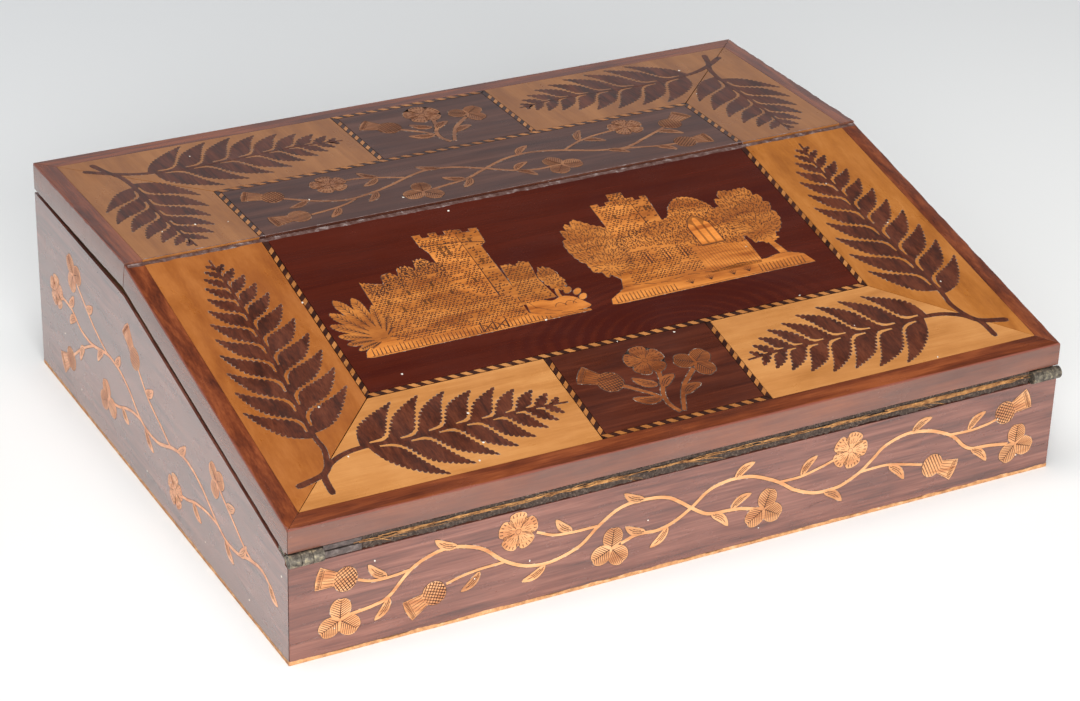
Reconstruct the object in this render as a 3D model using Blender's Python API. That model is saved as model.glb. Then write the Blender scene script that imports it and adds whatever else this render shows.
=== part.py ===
"""A wedge-shaped writing box of inlaid yew: a base, a slope lid hinged at the front edge and a level
lid hinged at the back edge. Metres, +Z up, the origin under the middle of the box on the table,
+X to the right, +Y to the back."""

import math

import bmesh
import bpy
from mathutils import Matrix, Vector

# Overall sizes
WIDTH = 0.380
DEPTH = 0.292
TOP_LID_DEPTH = 0.118
RIDGE_HEIGHT = 0.104
FRONT_HEIGHT = 0.064
RIDGE_STEP = 0.001  # the level lid stands this much above the slope lid where they meet

# Boards
LID_THICKNESS = 0.0125
WALL = 0.008
BOTTOM = 0.005
VENEER = 0.0012
BARE_FOOT = 0.0018  # height of the bottom board's edge that no veneer covers

# Gap between the base's rim and the lids, upright
RIM_GAP_FRONT = 0.0026
RIM_GAP_RIDGE = 0.0038
RIM_GAP_BACK = 0.0018

# Clearances
FIT = 0.0003  # between pieces that touch
RIDGE_FIT = 0.0005  # between the two lids

# Layout of the inlay, the same on both lids, measured in from a lid's outer edges
LIPPING = 0.0085
FERN_BAND = 0.0555
STRING_WIDTH = 0.0028
SPRIG_WIDTH = 0.084

# Hinges
BARREL_DIAMETER = 0.0058
HINGE_LENGTH = 0.015
LEAF_THICKNESS = 0.0008
LEAF_GAP = 0.0004  # between the two leaves of a closed hinge
LEAF_REACH = 0.0095  # from the pin's axis to a leaf's far edge
AXIS_OUT = 0.0005  # the pin's axis stands this far outside the box's face
BACK_HINGE_INSET = 0.045
KNUCKLES = 3
ROLL_STEPS = 14
ROLL_OPEN = math.radians(24)  # the slit that a rolled knuckle leaves open
PIN_SIDES = 16

# Torn leather along the front joint
LEATHER = 0.0018
LEATHER_TEAR = 0.0007

FRONT_Y = -DEPTH / 2
BACK_Y = DEPTH / 2
SIDE_X = WIDTH / 2
RIDGE_Y = BACK_Y - TOP_LID_DEPTH
SLOPE_RUN = RIDGE_Y - FRONT_Y
SLOPE = math.atan2(RIDGE_HEIGHT - FRONT_HEIGHT, SLOPE_RUN)
SLOPE_LENGTH = SLOPE_RUN / math.cos(SLOPE)
TOP_Z = RIDGE_HEIGHT + RIDGE_STEP
RIDGE_FOOT_Y = RIDGE_Y + LID_THICKNESS * math.sin(SLOPE)
TOP_LID_UNDERSIDE = RIDGE_HEIGHT - LID_THICKNESS * math.cos(SLOPE)
SKIN = VENEER + FIT
BARREL_RADIUS = BARREL_DIAMETER / 2


def slope_z(y, depth=0.0):
    """Height of the slope lid's face at y, or of the plane that lies depth below it."""
    return FRONT_HEIGHT + (y - FRONT_Y) * math.tan(SLOPE) - depth / math.cos(SLOPE)


FRONT_UNDERSIDE = slope_z(FRONT_Y, LID_THICKNESS)
FRONT_AXIS_Z = FRONT_UNDERSIDE - RIM_GAP_FRONT / 2
BACK_AXIS_Z = TOP_LID_UNDERSIDE - RIM_GAP_BACK / 2
FRONT_AXIS_Y = FRONT_Y - AXIS_OUT
BACK_AXIS_Y = BACK_Y + AXIS_OUT
REBATE = BARREL_RADIUS - AXIS_OUT + FIT
REBATE_TOP = FRONT_AXIS_Z + BARREL_RADIUS + FIT
REBATE_FOOT = FRONT_AXIS_Z - BARREL_RADIUS - FIT
CARCASS_X = SIDE_X - SKIN
CARCASS_Y = DEPTH / 2 - SKIN


def rim_z(y):
    """Height of the base's rim at y: two straight runs that meet under the ridge."""
    front = FRONT_UNDERSIDE - RIM_GAP_FRONT
    ridge = TOP_LID_UNDERSIDE - RIM_GAP_RIDGE
    back = TOP_LID_UNDERSIDE - RIM_GAP_BACK
    if y <= RIDGE_FOOT_Y:
        return front + (ridge - front) * (y - FRONT_Y) / (RIDGE_FOOT_Y - FRONT_Y)
    return ridge + (back - ridge) * (y - RIDGE_FOOT_Y) / (BACK_Y - RIDGE_FOOT_Y)


def clear_scene():
    for obj in list(bpy.data.objects):
        bpy.data.objects.remove(obj, do_unlink=True)


def material(name, colour, roughness, metallic=0.0):
    found = bpy.data.materials.get(name)
    if found:
        return found
    made = bpy.data.materials.new(name)
    made.use_nodes = True
    shader = made.node_tree.nodes["Principled BSDF"]
    shader.inputs["Base Color"].default_value = (*colour, 1.0)
    shader.inputs["Roughness"].default_value = roughness
    shader.inputs["Metallic"].default_value = metallic
    made.diffuse_color = (*colour, 1.0)
    return made


def yew_wood():
    return material("dark_yew", (0.085, 0.026, 0.018), 0.32)


def red_yew():
    return material("red_yew", (0.20, 0.045, 0.018), 0.28)


def light_wood():
    return material("light_arbutus", (0.52, 0.24, 0.07), 0.38)


def feather_wood():
    return material("feather_stringing", (0.30, 0.13, 0.05), 0.38)


def pine():
    return material("carcass_pine", (0.45, 0.28, 0.13), 0.6)


def worn_brass():
    return material("worn_brass", (0.36, 0.31, 0.22), 0.45, 0.9)


def torn_leather():
    return material("torn_leather", (0.06, 0.05, 0.04), 0.85)


def add_object(name, bm, finish, parent, recalculate=True):
    """Turns a bmesh in world metres into an object that hangs from parent, with its own origin there."""
    if recalculate:
        bmesh.ops.recalc_face_normals(bm, faces=bm.faces)
    origin = parent.matrix_world.translation.copy()
    bmesh.ops.translate(bm, verts=bm.verts, vec=-origin)
    mesh = bpy.data.meshes.new(name)
    bm.to_mesh(mesh)
    bm.free()
    mesh.materials.append(finish)
    obj = bpy.data.objects.new(name, mesh)
    bpy.context.scene.collection.objects.link(obj)
    obj.parent = parent
    return obj


def add_pivot(name, location):
    pivot = bpy.data.objects.new(name, None)
    pivot.empty_display_size = 0.02
    pivot.location = location
    bpy.context.scene.collection.objects.link(pivot)
    bpy.context.view_layer.update()
    return pivot


def extruded(corners, shift):
    """A closed prism: the polygon of corners, swept by the vector shift."""
    bm = bmesh.new()
    near = [bm.verts.new(corner) for corner in corners]
    far = [bm.verts.new(Vector(corner) + Vector(shift)) for corner in corners]
    bm.faces.new(near)
    bm.faces.new(far[::-1])
    count = len(corners)
    for i in range(count):
        j = (i + 1) % count
        bm.faces.new((near[i], far[i], far[j], near[j]))
    return bm


def side_profile(outline, x_from, x_to):
    """A bar with its outline given as (y, z) pairs, running along X."""
    return extruded([(x_from, y, z) for y, z in outline], (x_to - x_from, 0, 0))


def trim(bm, point, away):
    """Cuts off what lies on the side that the vector away points to, and closes the cut."""
    whole = bm.verts[:] + bm.edges[:] + bm.faces[:]
    cut = bmesh.ops.bisect_plane(
        bm, geom=whole, dist=1e-7, plane_co=point, plane_no=away, clear_outer=True
    )
    edges = [part for part in cut["geom_cut"] if isinstance(part, bmesh.types.BMEdge)]
    bmesh.ops.edgeloop_fill(bm, edges=edges)


def trim_ridge(bm):
    """Cuts a piece of the level lid to the leaning joint at the ridge."""
    along = Vector((0, math.cos(SLOPE), math.sin(SLOPE)))
    trim(bm, Vector((0, RIDGE_Y, RIDGE_HEIGHT)) + along * RIDGE_FIT, -along)


def trim_mitre(bm, corner, side, depth_way, inner):
    """Cuts an edging's end at 45 degrees in plan, through the upright corner. side is +1 or -1 in X and
    depth_way +1 or -1 in Y, both pointing out of the box. inner keeps the piece along the side."""
    ratio = math.cos(SLOPE) if depth_way < 0 else 1.0
    away = Vector((-side * ratio, depth_way, 0)) if inner else Vector((side * ratio, -depth_way, 0))
    away.normalize()
    trim(bm, Vector((*corner, 0)) - away * FIT / 2, away)


def cut_by(obj, cutter, name):
    modifier = obj.modifiers.new(name, "BOOLEAN")
    modifier.operation = "DIFFERENCE"
    modifier.object = cutter


class LidFace:
    """A lid's face as its own flat sheet: u runs along X, v runs in from the lid's outer edge to the
    ridge, and depth goes down into the lid."""

    def __init__(self, prefix, pivot, length, place, level):
        self.prefix = prefix
        self.pivot = pivot
        self.length = length
        self.place = place
        self.level = level

    def plate(self, name, corners, finish):
        """A veneer over the (u, v) corners, its top flush with the lid's face."""
        top = [self.place(u, v, 0.0) for u, v in corners]
        sunk = self.place(0.0, 0.0, VENEER) - self.place(0.0, 0.0, 0.0)
        bm = extruded(top, sunk)
        if self.level:
            trim_ridge(bm)
        return add_object(f"{self.prefix}_{name}", bm, finish, self.pivot)


def slope_place(u, v, depth):
    y = FRONT_Y + v * math.cos(SLOPE) + depth * math.sin(SLOPE)
    z = FRONT_HEIGHT + v * math.sin(SLOPE) - depth * math.cos(SLOPE)
    return Vector((u, y, z))


def top_place(u, v, depth):
    return Vector((u, BACK_Y - v, TOP_Z - depth))


def inlaid_field(lid, centre_name, edge_word):
    """The veneers inside a lid's edging: a centre panel that reaches the ridge, feather stringing on its
    other three sides, light panels mitred round it, and a sprig panel in the middle of the outer one."""
    half = FIT / 2
    outer_u = SIDE_X - LIPPING - half
    outer_v = LIPPING + half
    band_u = SIDE_X - LIPPING - FERN_BAND
    band_v = LIPPING + FERN_BAND
    sprig_u = SPRIG_WIDTH / 2
    string = STRING_WIDTH
    end = lid.length + (2 * RIDGE_STEP if lid.level else 0.0)
    slant = FIT * (math.sqrt(2) - 1) / 2

    def panel(name, u0, u1, v0, v1, finish):
        box = [(u0 + half, v0 + half), (u1 - half, v0 + half), (u1 - half, v1 - half), (u0 + half, v1 - half)]
        lid.plate(name, box, finish)

    inner_u = band_u - string
    inner_v = band_v + string
    panel(centre_name, -inner_u, inner_u, inner_v, end + half, yew_wood())
    lid.plate(
        "string_cross",
        [
            (-band_u + half + slant + half, band_v + half),
            (band_u - half - slant - half, band_v + half),
            (inner_u - half - slant, inner_v - half),
            (-inner_u + half + slant, inner_v - half),
        ],
        feather_wood(),
    )
    for side, word in ((-1, "left"), (1, "right")):
        lid.plate(
            f"string_{word}",
            [
                (side * (band_u - half), band_v + half + slant + half),
                (side * (inner_u + half), inner_v + half + slant),
                (side * (inner_u + half), end),
                (side * (band_u - half), end),
            ],
            feather_wood(),
        )
        lid.plate(
            f"fern_{word}",
            [
                (side * outer_u, outer_v + half + slant),
                (side * (band_u + half), band_v + half + slant),
                (side * (band_u + half), end),
                (side * outer_u, end),
            ],
            light_wood(),
        )
        lid.plate(
            f"fern_{edge_word}_{word}",
            [
                (side * (outer_u - half - slant), outer_v),
                (side * (sprig_u + half), outer_v),
                (side * (sprig_u + half), band_v - half),
                (side * (band_u - half - slant), band_v - half),
            ],
            light_wood(),
        )
        lid.plate(
            f"sprig_string_{word}",
            [
                (side * (sprig_u - half), outer_v + half + slant),
                (side * (sprig_u - half), band_v - half),
                (side * (sprig_u - string + half), band_v - half),
                (side * (sprig_u - string + half), LIPPING + string + half + slant),
            ],
            feather_wood(),
        )
    lid.plate(
        "sprig_string_edge",
        [
            (-sprig_u + half + slant + half, outer_v),
            (sprig_u - half - slant - half, outer_v),
            (sprig_u - string - slant - half, LIPPING + string - half),
            (-sprig_u + string + slant + half, LIPPING + string - half),
        ],
        feather_wood(),
    )
    panel("sprig_panel", -sprig_u + string, sprig_u - string, LIPPING + string, band_v, yew_wood())


def slope_lid(pivot):
    inner_y = FRONT_Y + LIPPING * math.cos(SLOPE)
    ridge_top = (RIDGE_Y, RIDGE_HEIGHT)
    ridge_foot = (RIDGE_FOOT_Y, TOP_LID_UNDERSIDE)
    rebate_y = FRONT_Y + REBATE
    rebate = [(rebate_y, slope_z(rebate_y, LID_THICKNESS)), (rebate_y, REBATE_TOP), (FRONT_Y, REBATE_TOP)]
    front = [(FRONT_Y, FRONT_HEIGHT), (inner_y, slope_z(inner_y)), (inner_y, slope_z(inner_y, LID_THICKNESS))]
    bar = side_profile(front + rebate, -SIDE_X, SIDE_X)
    for side in (-1, 1):
        trim_mitre(bar, (side * SIDE_X, FRONT_Y), side, -1, inner=False)
    add_object("slope_lipping_front", bar, red_yew(), pivot)
    for side, word in ((-1, "left"), (1, "right")):
        outline = [(FRONT_Y, FRONT_HEIGHT), ridge_top, ridge_foot] + rebate
        bar = side_profile(outline, side * SIDE_X, side * (SIDE_X - LIPPING))
        trim_mitre(bar, (side * SIDE_X, FRONT_Y), side, -1, inner=True)
        add_object(f"slope_lipping_{word}", bar, red_yew(), pivot)
    core_y = inner_y + FIT
    core = [
        (core_y, slope_z(core_y, SKIN)),
        tuple(slope_place(0, SLOPE_LENGTH, SKIN).yz),
        ridge_foot,
        (core_y, slope_z(core_y, LID_THICKNESS)),
    ]
    core_x = SIDE_X - LIPPING - FIT
    add_object("slope_board", side_profile(core, -core_x, core_x), pine(), pivot)
    inlaid_field(LidFace("slope", pivot, SLOPE_LENGTH, slope_place, False), "centre_panel", "front")


def top_lid(pivot, mortises):
    """The level lid. Its front end is cut to the leaning ridge joint."""
    inner_y = BACK_Y - LIPPING
    past_ridge = RIDGE_Y - LID_THICKNESS
    rail = [(inner_y, TOP_Z), (BACK_Y, TOP_Z), (BACK_Y, TOP_LID_UNDERSIDE), (inner_y, TOP_LID_UNDERSIDE)]
    bar = side_profile(rail, -SIDE_X, SIDE_X)
    for side in (-1, 1):
        trim_mitre(bar, (side * SIDE_X, BACK_Y), side, 1, inner=False)
    back = add_object("top_lipping_back", bar, red_yew(), pivot)
    for side, word in ((-1, "left"), (1, "right")):
        outline = [
            (past_ridge, TOP_Z),
            (BACK_Y, TOP_Z),
            (BACK_Y, TOP_LID_UNDERSIDE),
            (past_ridge, TOP_LID_UNDERSIDE),
        ]
        bar = side_profile(outline, side * SIDE_X, side * (SIDE_X - LIPPING))
        trim_mitre(bar, (side * SIDE_X, BACK_Y), side, 1, inner=True)
        trim_ridge(bar)
        add_object(f"top_lipping_{word}", bar, red_yew(), pivot)
    core_y = inner_y - FIT
    core = [
        (past_ridge, TOP_Z - SKIN),
        (core_y, TOP_Z - SKIN),
        (core_y, TOP_LID_UNDERSIDE),
        (past_ridge, TOP_LID_UNDERSIDE),
    ]
    core_x = SIDE_X - LIPPING - FIT
    bar = side_profile(core, -core_x, core_x)
    trim_ridge(bar)
    board = add_object("top_board", bar, pine(), pivot)
    for mortise in mortises:
        cut_by(back, mortise, "hinge_mortise")
        cut_by(board, mortise, "leaf_mortise")
    inlaid_field(LidFace("top", pivot, TOP_LID_DEPTH, top_place, True), "vine_panel", "back")


def rim_outline(y_from, y_to, foot):
    """Outline of a wall seen from the side, from foot up to the rim, with the front joint's rebate."""
    rebate_y = FRONT_Y + REBATE
    points = [(y_from, foot), (y_to, foot), (y_to, rim_z(y_to))]
    if y_to > RIDGE_FOOT_Y > y_from:
        points.append((RIDGE_FOOT_Y, rim_z(RIDGE_FOOT_Y)))
    if y_from < rebate_y:
        points += [(rebate_y, rim_z(rebate_y)), (rebate_y, REBATE_FOOT), (y_from, REBATE_FOOT)]
    else:
        points.append((y_from, rim_z(y_from)))
    return points


def veneer_mitre(bm, side, depth_way, along_side):
    """Cuts a wall veneer's end at 45 degrees at one upright corner of the box."""
    away = Vector((-side, depth_way, 0)) if along_side else Vector((side, -depth_way, 0))
    away.normalize()
    trim(bm, Vector((side * SIDE_X, depth_way * BACK_Y, 0)) - away * FIT / 2, away)


def base(pivot, mortises):
    bottom = [(-CARCASS_Y, 0), (CARCASS_Y, 0), (CARCASS_Y, BOTTOM), (-CARCASS_Y, BOTTOM)]
    add_object("bottom_board", side_profile(bottom, -CARCASS_X, CARCASS_X), pine(), pivot)
    foot = BOTTOM + FIT
    for side, word in ((-1, "left"), (1, "right")):
        wall = side_profile(
            rim_outline(-CARCASS_Y, CARCASS_Y, foot), side * CARCASS_X, side * (CARCASS_X - WALL)
        )
        add_object(f"{word}_side", wall, pine(), pivot)
        skin = side_profile(
            rim_outline(FRONT_Y, BACK_Y, BARE_FOOT), side * SIDE_X, side * (SIDE_X - VENEER)
        )
        veneer_mitre(skin, side, 1, True)
        veneer_mitre(skin, side, -1, True)
        add_object(f"{word}_veneer", skin, yew_wood(), pivot)
    inner_x = CARCASS_X - WALL - FIT
    front = rim_outline(-CARCASS_Y, -CARCASS_Y + WALL, foot)
    add_object("front_board", side_profile(front, -inner_x, inner_x), pine(), pivot)
    back = rim_outline(CARCASS_Y - WALL, CARCASS_Y, foot)
    back_board = add_object("back_board", side_profile(back, -inner_x, inner_x), pine(), pivot)
    front_skin = [
        (FRONT_Y, BARE_FOOT),
        (FRONT_Y + VENEER, BARE_FOOT),
        (FRONT_Y + VENEER, REBATE_FOOT),
        (FRONT_Y, REBATE_FOOT),
    ]
    skin = side_profile(front_skin, -SIDE_X, SIDE_X)
    for side in (-1, 1):
        veneer_mitre(skin, side, -1, False)
    add_object("front_veneer", skin, yew_wood(), pivot)
    skin = side_profile(rim_outline(BACK_Y - VENEER, BACK_Y, BARE_FOOT), -SIDE_X, SIDE_X)
    for side in (-1, 1):
        veneer_mitre(skin, side, 1, False)
    back_veneer = add_object("back_veneer", skin, yew_wood(), pivot)
    for mortise in mortises:
        cut_by(back_board, mortise, "hinge_mortise")
        cut_by(back_veneer, mortise, "hinge_mortise")


def leather(base_pivot, lid_pivot):
    """The two torn halves of the leather that once closed the front joint, each in its own rebate."""
    reach = SIDE_X - HINGE_LENGTH - 3 * FIT
    back = FRONT_Y + REBATE - FIT
    front = back - LEATHER
    tear = LEATHER_TEAR / 2
    halves = (
        ("leather_strip_lower", REBATE_FOOT + FIT, FRONT_AXIS_Z - tear, base_pivot),
        ("leather_strip_upper", FRONT_AXIS_Z + tear, REBATE_TOP - FIT, lid_pivot),
    )
    for name, foot, top, pivot in halves:
        outline = [(front, foot), (back, foot), (back, top), (front, top)]
        add_object(name, side_profile(outline, -reach, reach), torn_leather(), pivot)


def leaf_blank(name, frame, x_from, upper, rolled, pivot):
    """One hinge leaf: a flat sheet whose fingers roll round the pin, given as the sheet's middle surface
    and thickened. frame maps (x, out along the leaf, up) from the pin's axis to the world, upper is +1
    for the lid's leaf and -1 for the base's, and rolled lists the knuckles that this leaf carries."""
    radius = BARREL_RADIUS - LEAF_THICKNESS / 2
    rise = upper * (LEAF_GAP + LEAF_THICKNESS) / 2
    start = math.asin(abs(rise) / radius)
    knuckle = (HINGE_LENGTH - (KNUCKLES - 1) * FIT) / KNUCKLES
    lines = []
    for i in range(KNUCKLES):
        lines += [i * (knuckle + FIT), i * (knuckle + FIT) + knuckle]
    route = [(LEAF_REACH, rise), (BARREL_RADIUS + FIT + LEAF_THICKNESS, rise)]
    flat = len(route)
    route.append((BARREL_RADIUS + FIT, rise))
    sweep = 2 * math.pi - ROLL_OPEN
    for i in range(ROLL_STEPS + 1):
        angle = start + sweep * i / ROLL_STEPS
        route.append((radius * math.cos(angle), upper * radius * math.sin(angle)))
    bm = bmesh.new()
    grid = [[bm.verts.new(frame @ Vector((x_from + x, out, up))) for out, up in route] for x in lines]
    for i in range(len(lines) - 1):
        finger = i % 2 == 0 and i // 2 in rolled
        for j in range(len(route) - 1):
            if j < flat - 1 or finger:
                bm.faces.new((grid[i][j], grid[i + 1][j], grid[i + 1][j + 1], grid[i][j + 1]))
    loose = [vert for vert in bm.verts if not vert.link_faces]
    bmesh.ops.delete(bm, geom=loose, context="VERTS")
    leaf = add_object(name, bm, worn_brass(), pivot)
    sheet = leaf.modifiers.new("sheet", "SOLIDIFY")
    sheet.thickness = LEAF_THICKNESS
    sheet.offset = 0.0
    sheet.use_even_offset = True


def pin(name, frame, x_from, pivot):
    """The hinge's pin, through all its knuckles and as long as they are."""
    radius = BARREL_RADIUS - LEAF_THICKNESS - FIT
    bm = bmesh.new()
    bmesh.ops.create_cone(
        bm, cap_ends=True, segments=PIN_SIDES, radius1=radius, radius2=radius, depth=HINGE_LENGTH
    )
    turn = Matrix.Rotation(math.pi / 2, 4, "Y")
    middle = Matrix.Translation((x_from + HINGE_LENGTH / 2, 0, 0))
    bmesh.ops.transform(bm, matrix=frame @ middle @ turn, verts=bm.verts)
    obj = add_object(name, bm, worn_brass(), pivot)
    obj.data.shade_smooth()
    obj.data.set_sharp_from_angle(angle=math.radians(40))


def hinge(name, x_from, axis, frame, lid_pivot, base_pivot):
    placed = Matrix.Translation(axis) @ frame
    leaf_blank(f"{name}_hinge_base_leaf", placed, x_from, -1, (0, 2), base_pivot)
    leaf_blank(f"{name}_hinge_lid_leaf", placed, x_from, 1, (1,), lid_pivot)
    pin(f"{name}_hinge_pin", placed, x_from, base_pivot)


def back_mortise(name, x_from, pivot):
    """Cutter for one back hinge: a square slot for its barrel and a shallow one for its leaves."""
    slot = BARREL_RADIUS + FIT
    leaves = LEAF_THICKNESS + LEAF_GAP / 2 + FIT
    outside = BACK_AXIS_Y + slot
    inside = BACK_AXIS_Y - slot
    end = BACK_AXIS_Y - LEAF_REACH - FIT
    z = BACK_AXIS_Z
    outline = [
        (outside, z - slot),
        (outside, z + slot),
        (inside, z + slot),
        (inside, z + leaves),
        (end, z + leaves),
        (end, z - leaves),
        (inside, z - leaves),
        (inside, z - slot),
    ]
    bm = side_profile(outline, x_from - FIT, x_from + HINGE_LENGTH + FIT)
    cutter = add_object(name, bm, pine(), pivot)
    cutter.hide_render = True
    cutter.display_type = "WIRE"
    return cutter


def build():
    clear_scene()
    base_pivot = add_pivot("base_origin", (0, 0, 0))
    slope_pivot = add_pivot("slope_lid_axis", (0, FRONT_AXIS_Y, FRONT_AXIS_Z))
    top_pivot = add_pivot("top_lid_axis", (0, BACK_AXIS_Y, BACK_AXIS_Z))
    back_hinges = {
        "back_left": -SIDE_X + BACK_HINGE_INSET,
        "back_right": SIDE_X - BACK_HINGE_INSET - HINGE_LENGTH,
    }
    front_hinges = {"front_left": -SIDE_X, "front_right": SIDE_X - HINGE_LENGTH}
    mortises = [back_mortise(f"{name}_mortise", x, base_pivot) for name, x in back_hinges.items()]
    base(base_pivot, mortises)
    slope_lid(slope_pivot)
    top_lid(top_pivot, mortises)
    leather(base_pivot, slope_pivot)
    uphill = Matrix.Rotation(SLOPE, 4, "X")
    inward = Matrix.Diagonal((1, -1, 1, 1))
    for name, x in front_hinges.items():
        hinge(name, x, slope_pivot.location, uphill, slope_pivot, base_pivot)
    for name, x in back_hinges.items():
        hinge(name, x, top_pivot.location, inward, top_pivot, base_pivot)


build()
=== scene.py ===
"""The looks of an old inlaid writing box: varnished yew and arbutus veneers, fern, thistle, rose and
shamrock marquetry, two little pictures of ruins, feather stringing, torn leather and worn brass.
Lengths are millimetres unless a name says otherwise, and MM turns them into Blender's metres."""

import math

import bpy
import numpy as np
from mathutils import Matrix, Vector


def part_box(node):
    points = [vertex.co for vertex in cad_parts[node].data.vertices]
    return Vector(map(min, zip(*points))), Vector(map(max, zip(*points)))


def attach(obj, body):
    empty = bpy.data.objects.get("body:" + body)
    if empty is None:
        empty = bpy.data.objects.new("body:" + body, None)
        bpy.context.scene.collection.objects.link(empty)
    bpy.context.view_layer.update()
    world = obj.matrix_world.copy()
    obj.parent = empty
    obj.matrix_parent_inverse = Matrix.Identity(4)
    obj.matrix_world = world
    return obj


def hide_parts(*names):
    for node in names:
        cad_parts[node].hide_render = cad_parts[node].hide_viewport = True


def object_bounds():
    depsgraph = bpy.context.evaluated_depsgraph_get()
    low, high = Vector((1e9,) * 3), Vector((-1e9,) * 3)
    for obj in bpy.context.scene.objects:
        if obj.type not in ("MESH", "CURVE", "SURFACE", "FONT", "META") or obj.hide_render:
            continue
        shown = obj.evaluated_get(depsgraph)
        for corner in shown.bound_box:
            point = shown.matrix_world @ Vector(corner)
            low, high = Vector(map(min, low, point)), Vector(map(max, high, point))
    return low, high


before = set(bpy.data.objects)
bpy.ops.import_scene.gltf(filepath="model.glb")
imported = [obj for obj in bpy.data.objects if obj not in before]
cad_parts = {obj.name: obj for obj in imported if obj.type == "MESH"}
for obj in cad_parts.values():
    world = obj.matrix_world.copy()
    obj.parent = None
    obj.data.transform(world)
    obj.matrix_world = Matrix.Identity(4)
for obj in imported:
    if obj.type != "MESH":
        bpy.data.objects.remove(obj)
CAD_BOX = [list(corner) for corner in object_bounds()]

MM = 0.001


def corners(node):
    """Lowest and highest corner of a part of the frame, in millimetres."""
    return tuple(np.array(corner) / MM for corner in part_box(node))


# Sizes read from the frame
SIDE_X, _, TOP_Z = np.array(CAD_BOX[1]) / MM
FRONT_Y = corners("front_veneer")[0][1]
BACK_Y = corners("back_veneer")[1][1]
RIDGE_HEIGHT = corners("slope_lipping_left")[1][2]
LEVEL_FRONT_Y = corners("top_vine_panel")[0][1]

# Sizes that the marquetry and the edges follow
FRONT_HEIGHT = 64.0
RIDGE_GAP = 0.28
RIDGE_Y = LEVEL_FRONT_Y - RIDGE_GAP
LIPPING = 8.5
LID_THICKNESS = 12.5
STRING_INNER_U = 126.0
STRING_WIDTH = 2.8
STRING_OUTER_U = STRING_INNER_U - STRING_WIDTH
STRING_PITCH, STRING_BLOCK, STRING_BLOCK_WIDTH = 6.25, 2.9, 2.3
SPRIG_U = 42.0
SPRIG_RISE = 73.5
PICTURE_FOOT = 87.5
SLOPE = math.atan2(RIDGE_HEIGHT - FRONT_HEIGHT, RIDGE_Y - FRONT_Y)
SLOPE_LENGTH = math.hypot(RIDGE_HEIGHT - FRONT_HEIGHT, RIDGE_Y - FRONT_Y)


class Face:
    """A flat face of the box as a sheet of paper: a point (u, v, h) on it lies u along `across`,
    v along `up` and h out of the wood, all in millimetres from `origin`."""

    def __init__(self, origin, across, up, out):
        self.origin = np.array(origin, float)
        self.axes = np.array([across, up, out], float)

    def lay(self, points):
        return self.origin + points @ self.axes


UPHILL = (0, math.cos(SLOPE), math.sin(SLOPE))
SLOPE_OUT = (0, -math.sin(SLOPE), math.cos(SLOPE))
SLOPE_FACE = Face((0, FRONT_Y, FRONT_HEIGHT), (1, 0, 0), UPHILL, SLOPE_OUT)
LEVEL_FACE = Face((0, 0, TOP_Z), (1, 0, 0), (0, 1, 0), (0, 0, 1))
FRONT_FACE = Face((0, FRONT_Y, 0), (1, 0, 0), (0, 0, 1), (0, -1, 0))
BACK_FACE = Face((0, BACK_Y, 0), (1, 0, 0), (0, 0, 1), (0, 1, 0))
LEFT_FACE = Face((-SIDE_X, 0, 0), (0, 1, 0), (0, 0, 1), (-1, 0, 0))
RIGHT_FACE = Face((SIDE_X, 0, 0), (0, 1, 0), (0, 0, 1), (1, 0, 0))


# Colours and shader nodes


def srgb(code):
    """The linear colour of an sRGB hex value."""
    shares = [int(code[i : i + 2], 16) / 255 for i in (0, 2, 4)]
    return (*(c / 12.92 if c <= 0.04045 else ((c + 0.055) / 1.055) ** 2.4 for c in shares), 1.0)


def feed(tree, target, inputs):
    """Sets or links a shader node's inputs."""
    for key, value in inputs.items():
        if isinstance(value, bpy.types.NodeSocket):
            tree.links.new(value, target.inputs[key])
        else:
            target.inputs[key].default_value = value


def node(tree, kind, inputs=None, **settings):
    """Adds a shader node, sets its properties, and sets or links its inputs."""
    made = tree.nodes.new("ShaderNode" + kind)
    for name, value in settings.items():
        setattr(made, name, value)
    feed(tree, made, inputs or {})
    return made


def worked_out(tree, operation, *values):
    """The result of a Math node."""
    return node(tree, "Math", dict(enumerate(values)), operation=operation).outputs[0]


def ranged(tree, value, low, high, begin=0.3, end=0.7):
    """A value that runs from low to high while the given one runs from begin to end."""
    return node(tree, "MapRange", {0: value, 1: begin, 2: end, 3: low, 4: high}).outputs[0]


def mixed(tree, share, below, above):
    """The colour `below`, covered by that share of the colour `above`."""
    return node(tree, "Mix", {0: share, 6: below, 7: above}, data_type="RGBA").outputs[2]


def ramp(tree, value, stops):
    """The colour of a ramp, whose stops are (place, sRGB hex value)."""
    made = node(tree, "ValToRGB", {0: value})
    elements = made.color_ramp.elements
    while len(elements) < len(stops):
        elements.new(0.5)
    for element, (place, code) in zip(elements, stops):
        element.position = place
        element.color = srgb(code)
    return made.outputs[0]


def toned(tree, colour, share):
    """The colour, darker or lighter by that share of a piece's own tone."""
    tone = node(tree, "Attribute", attribute_name="tone").outputs["Fac"]
    shade = worked_out(tree, "MULTIPLY_ADD", tone, share, 1.0)
    return node(tree, "HueSaturation", {"Value": shade, "Color": colour}).outputs[0]


def bumped(tree, height, strength, distance, **under):
    """The surface's lean where it is raised by `height`, over that of a bump `under` it."""
    inputs = {"Strength": strength, "Distance": distance, "Height": height, **under}
    return node(tree, "Bump", inputs).outputs[0]


def new_material(name):
    """A material, its node tree and its surface shader."""
    made = bpy.data.materials.new(name)
    made.use_nodes = True
    return made, made.node_tree, made.node_tree.nodes["Principled BSDF"]


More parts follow.
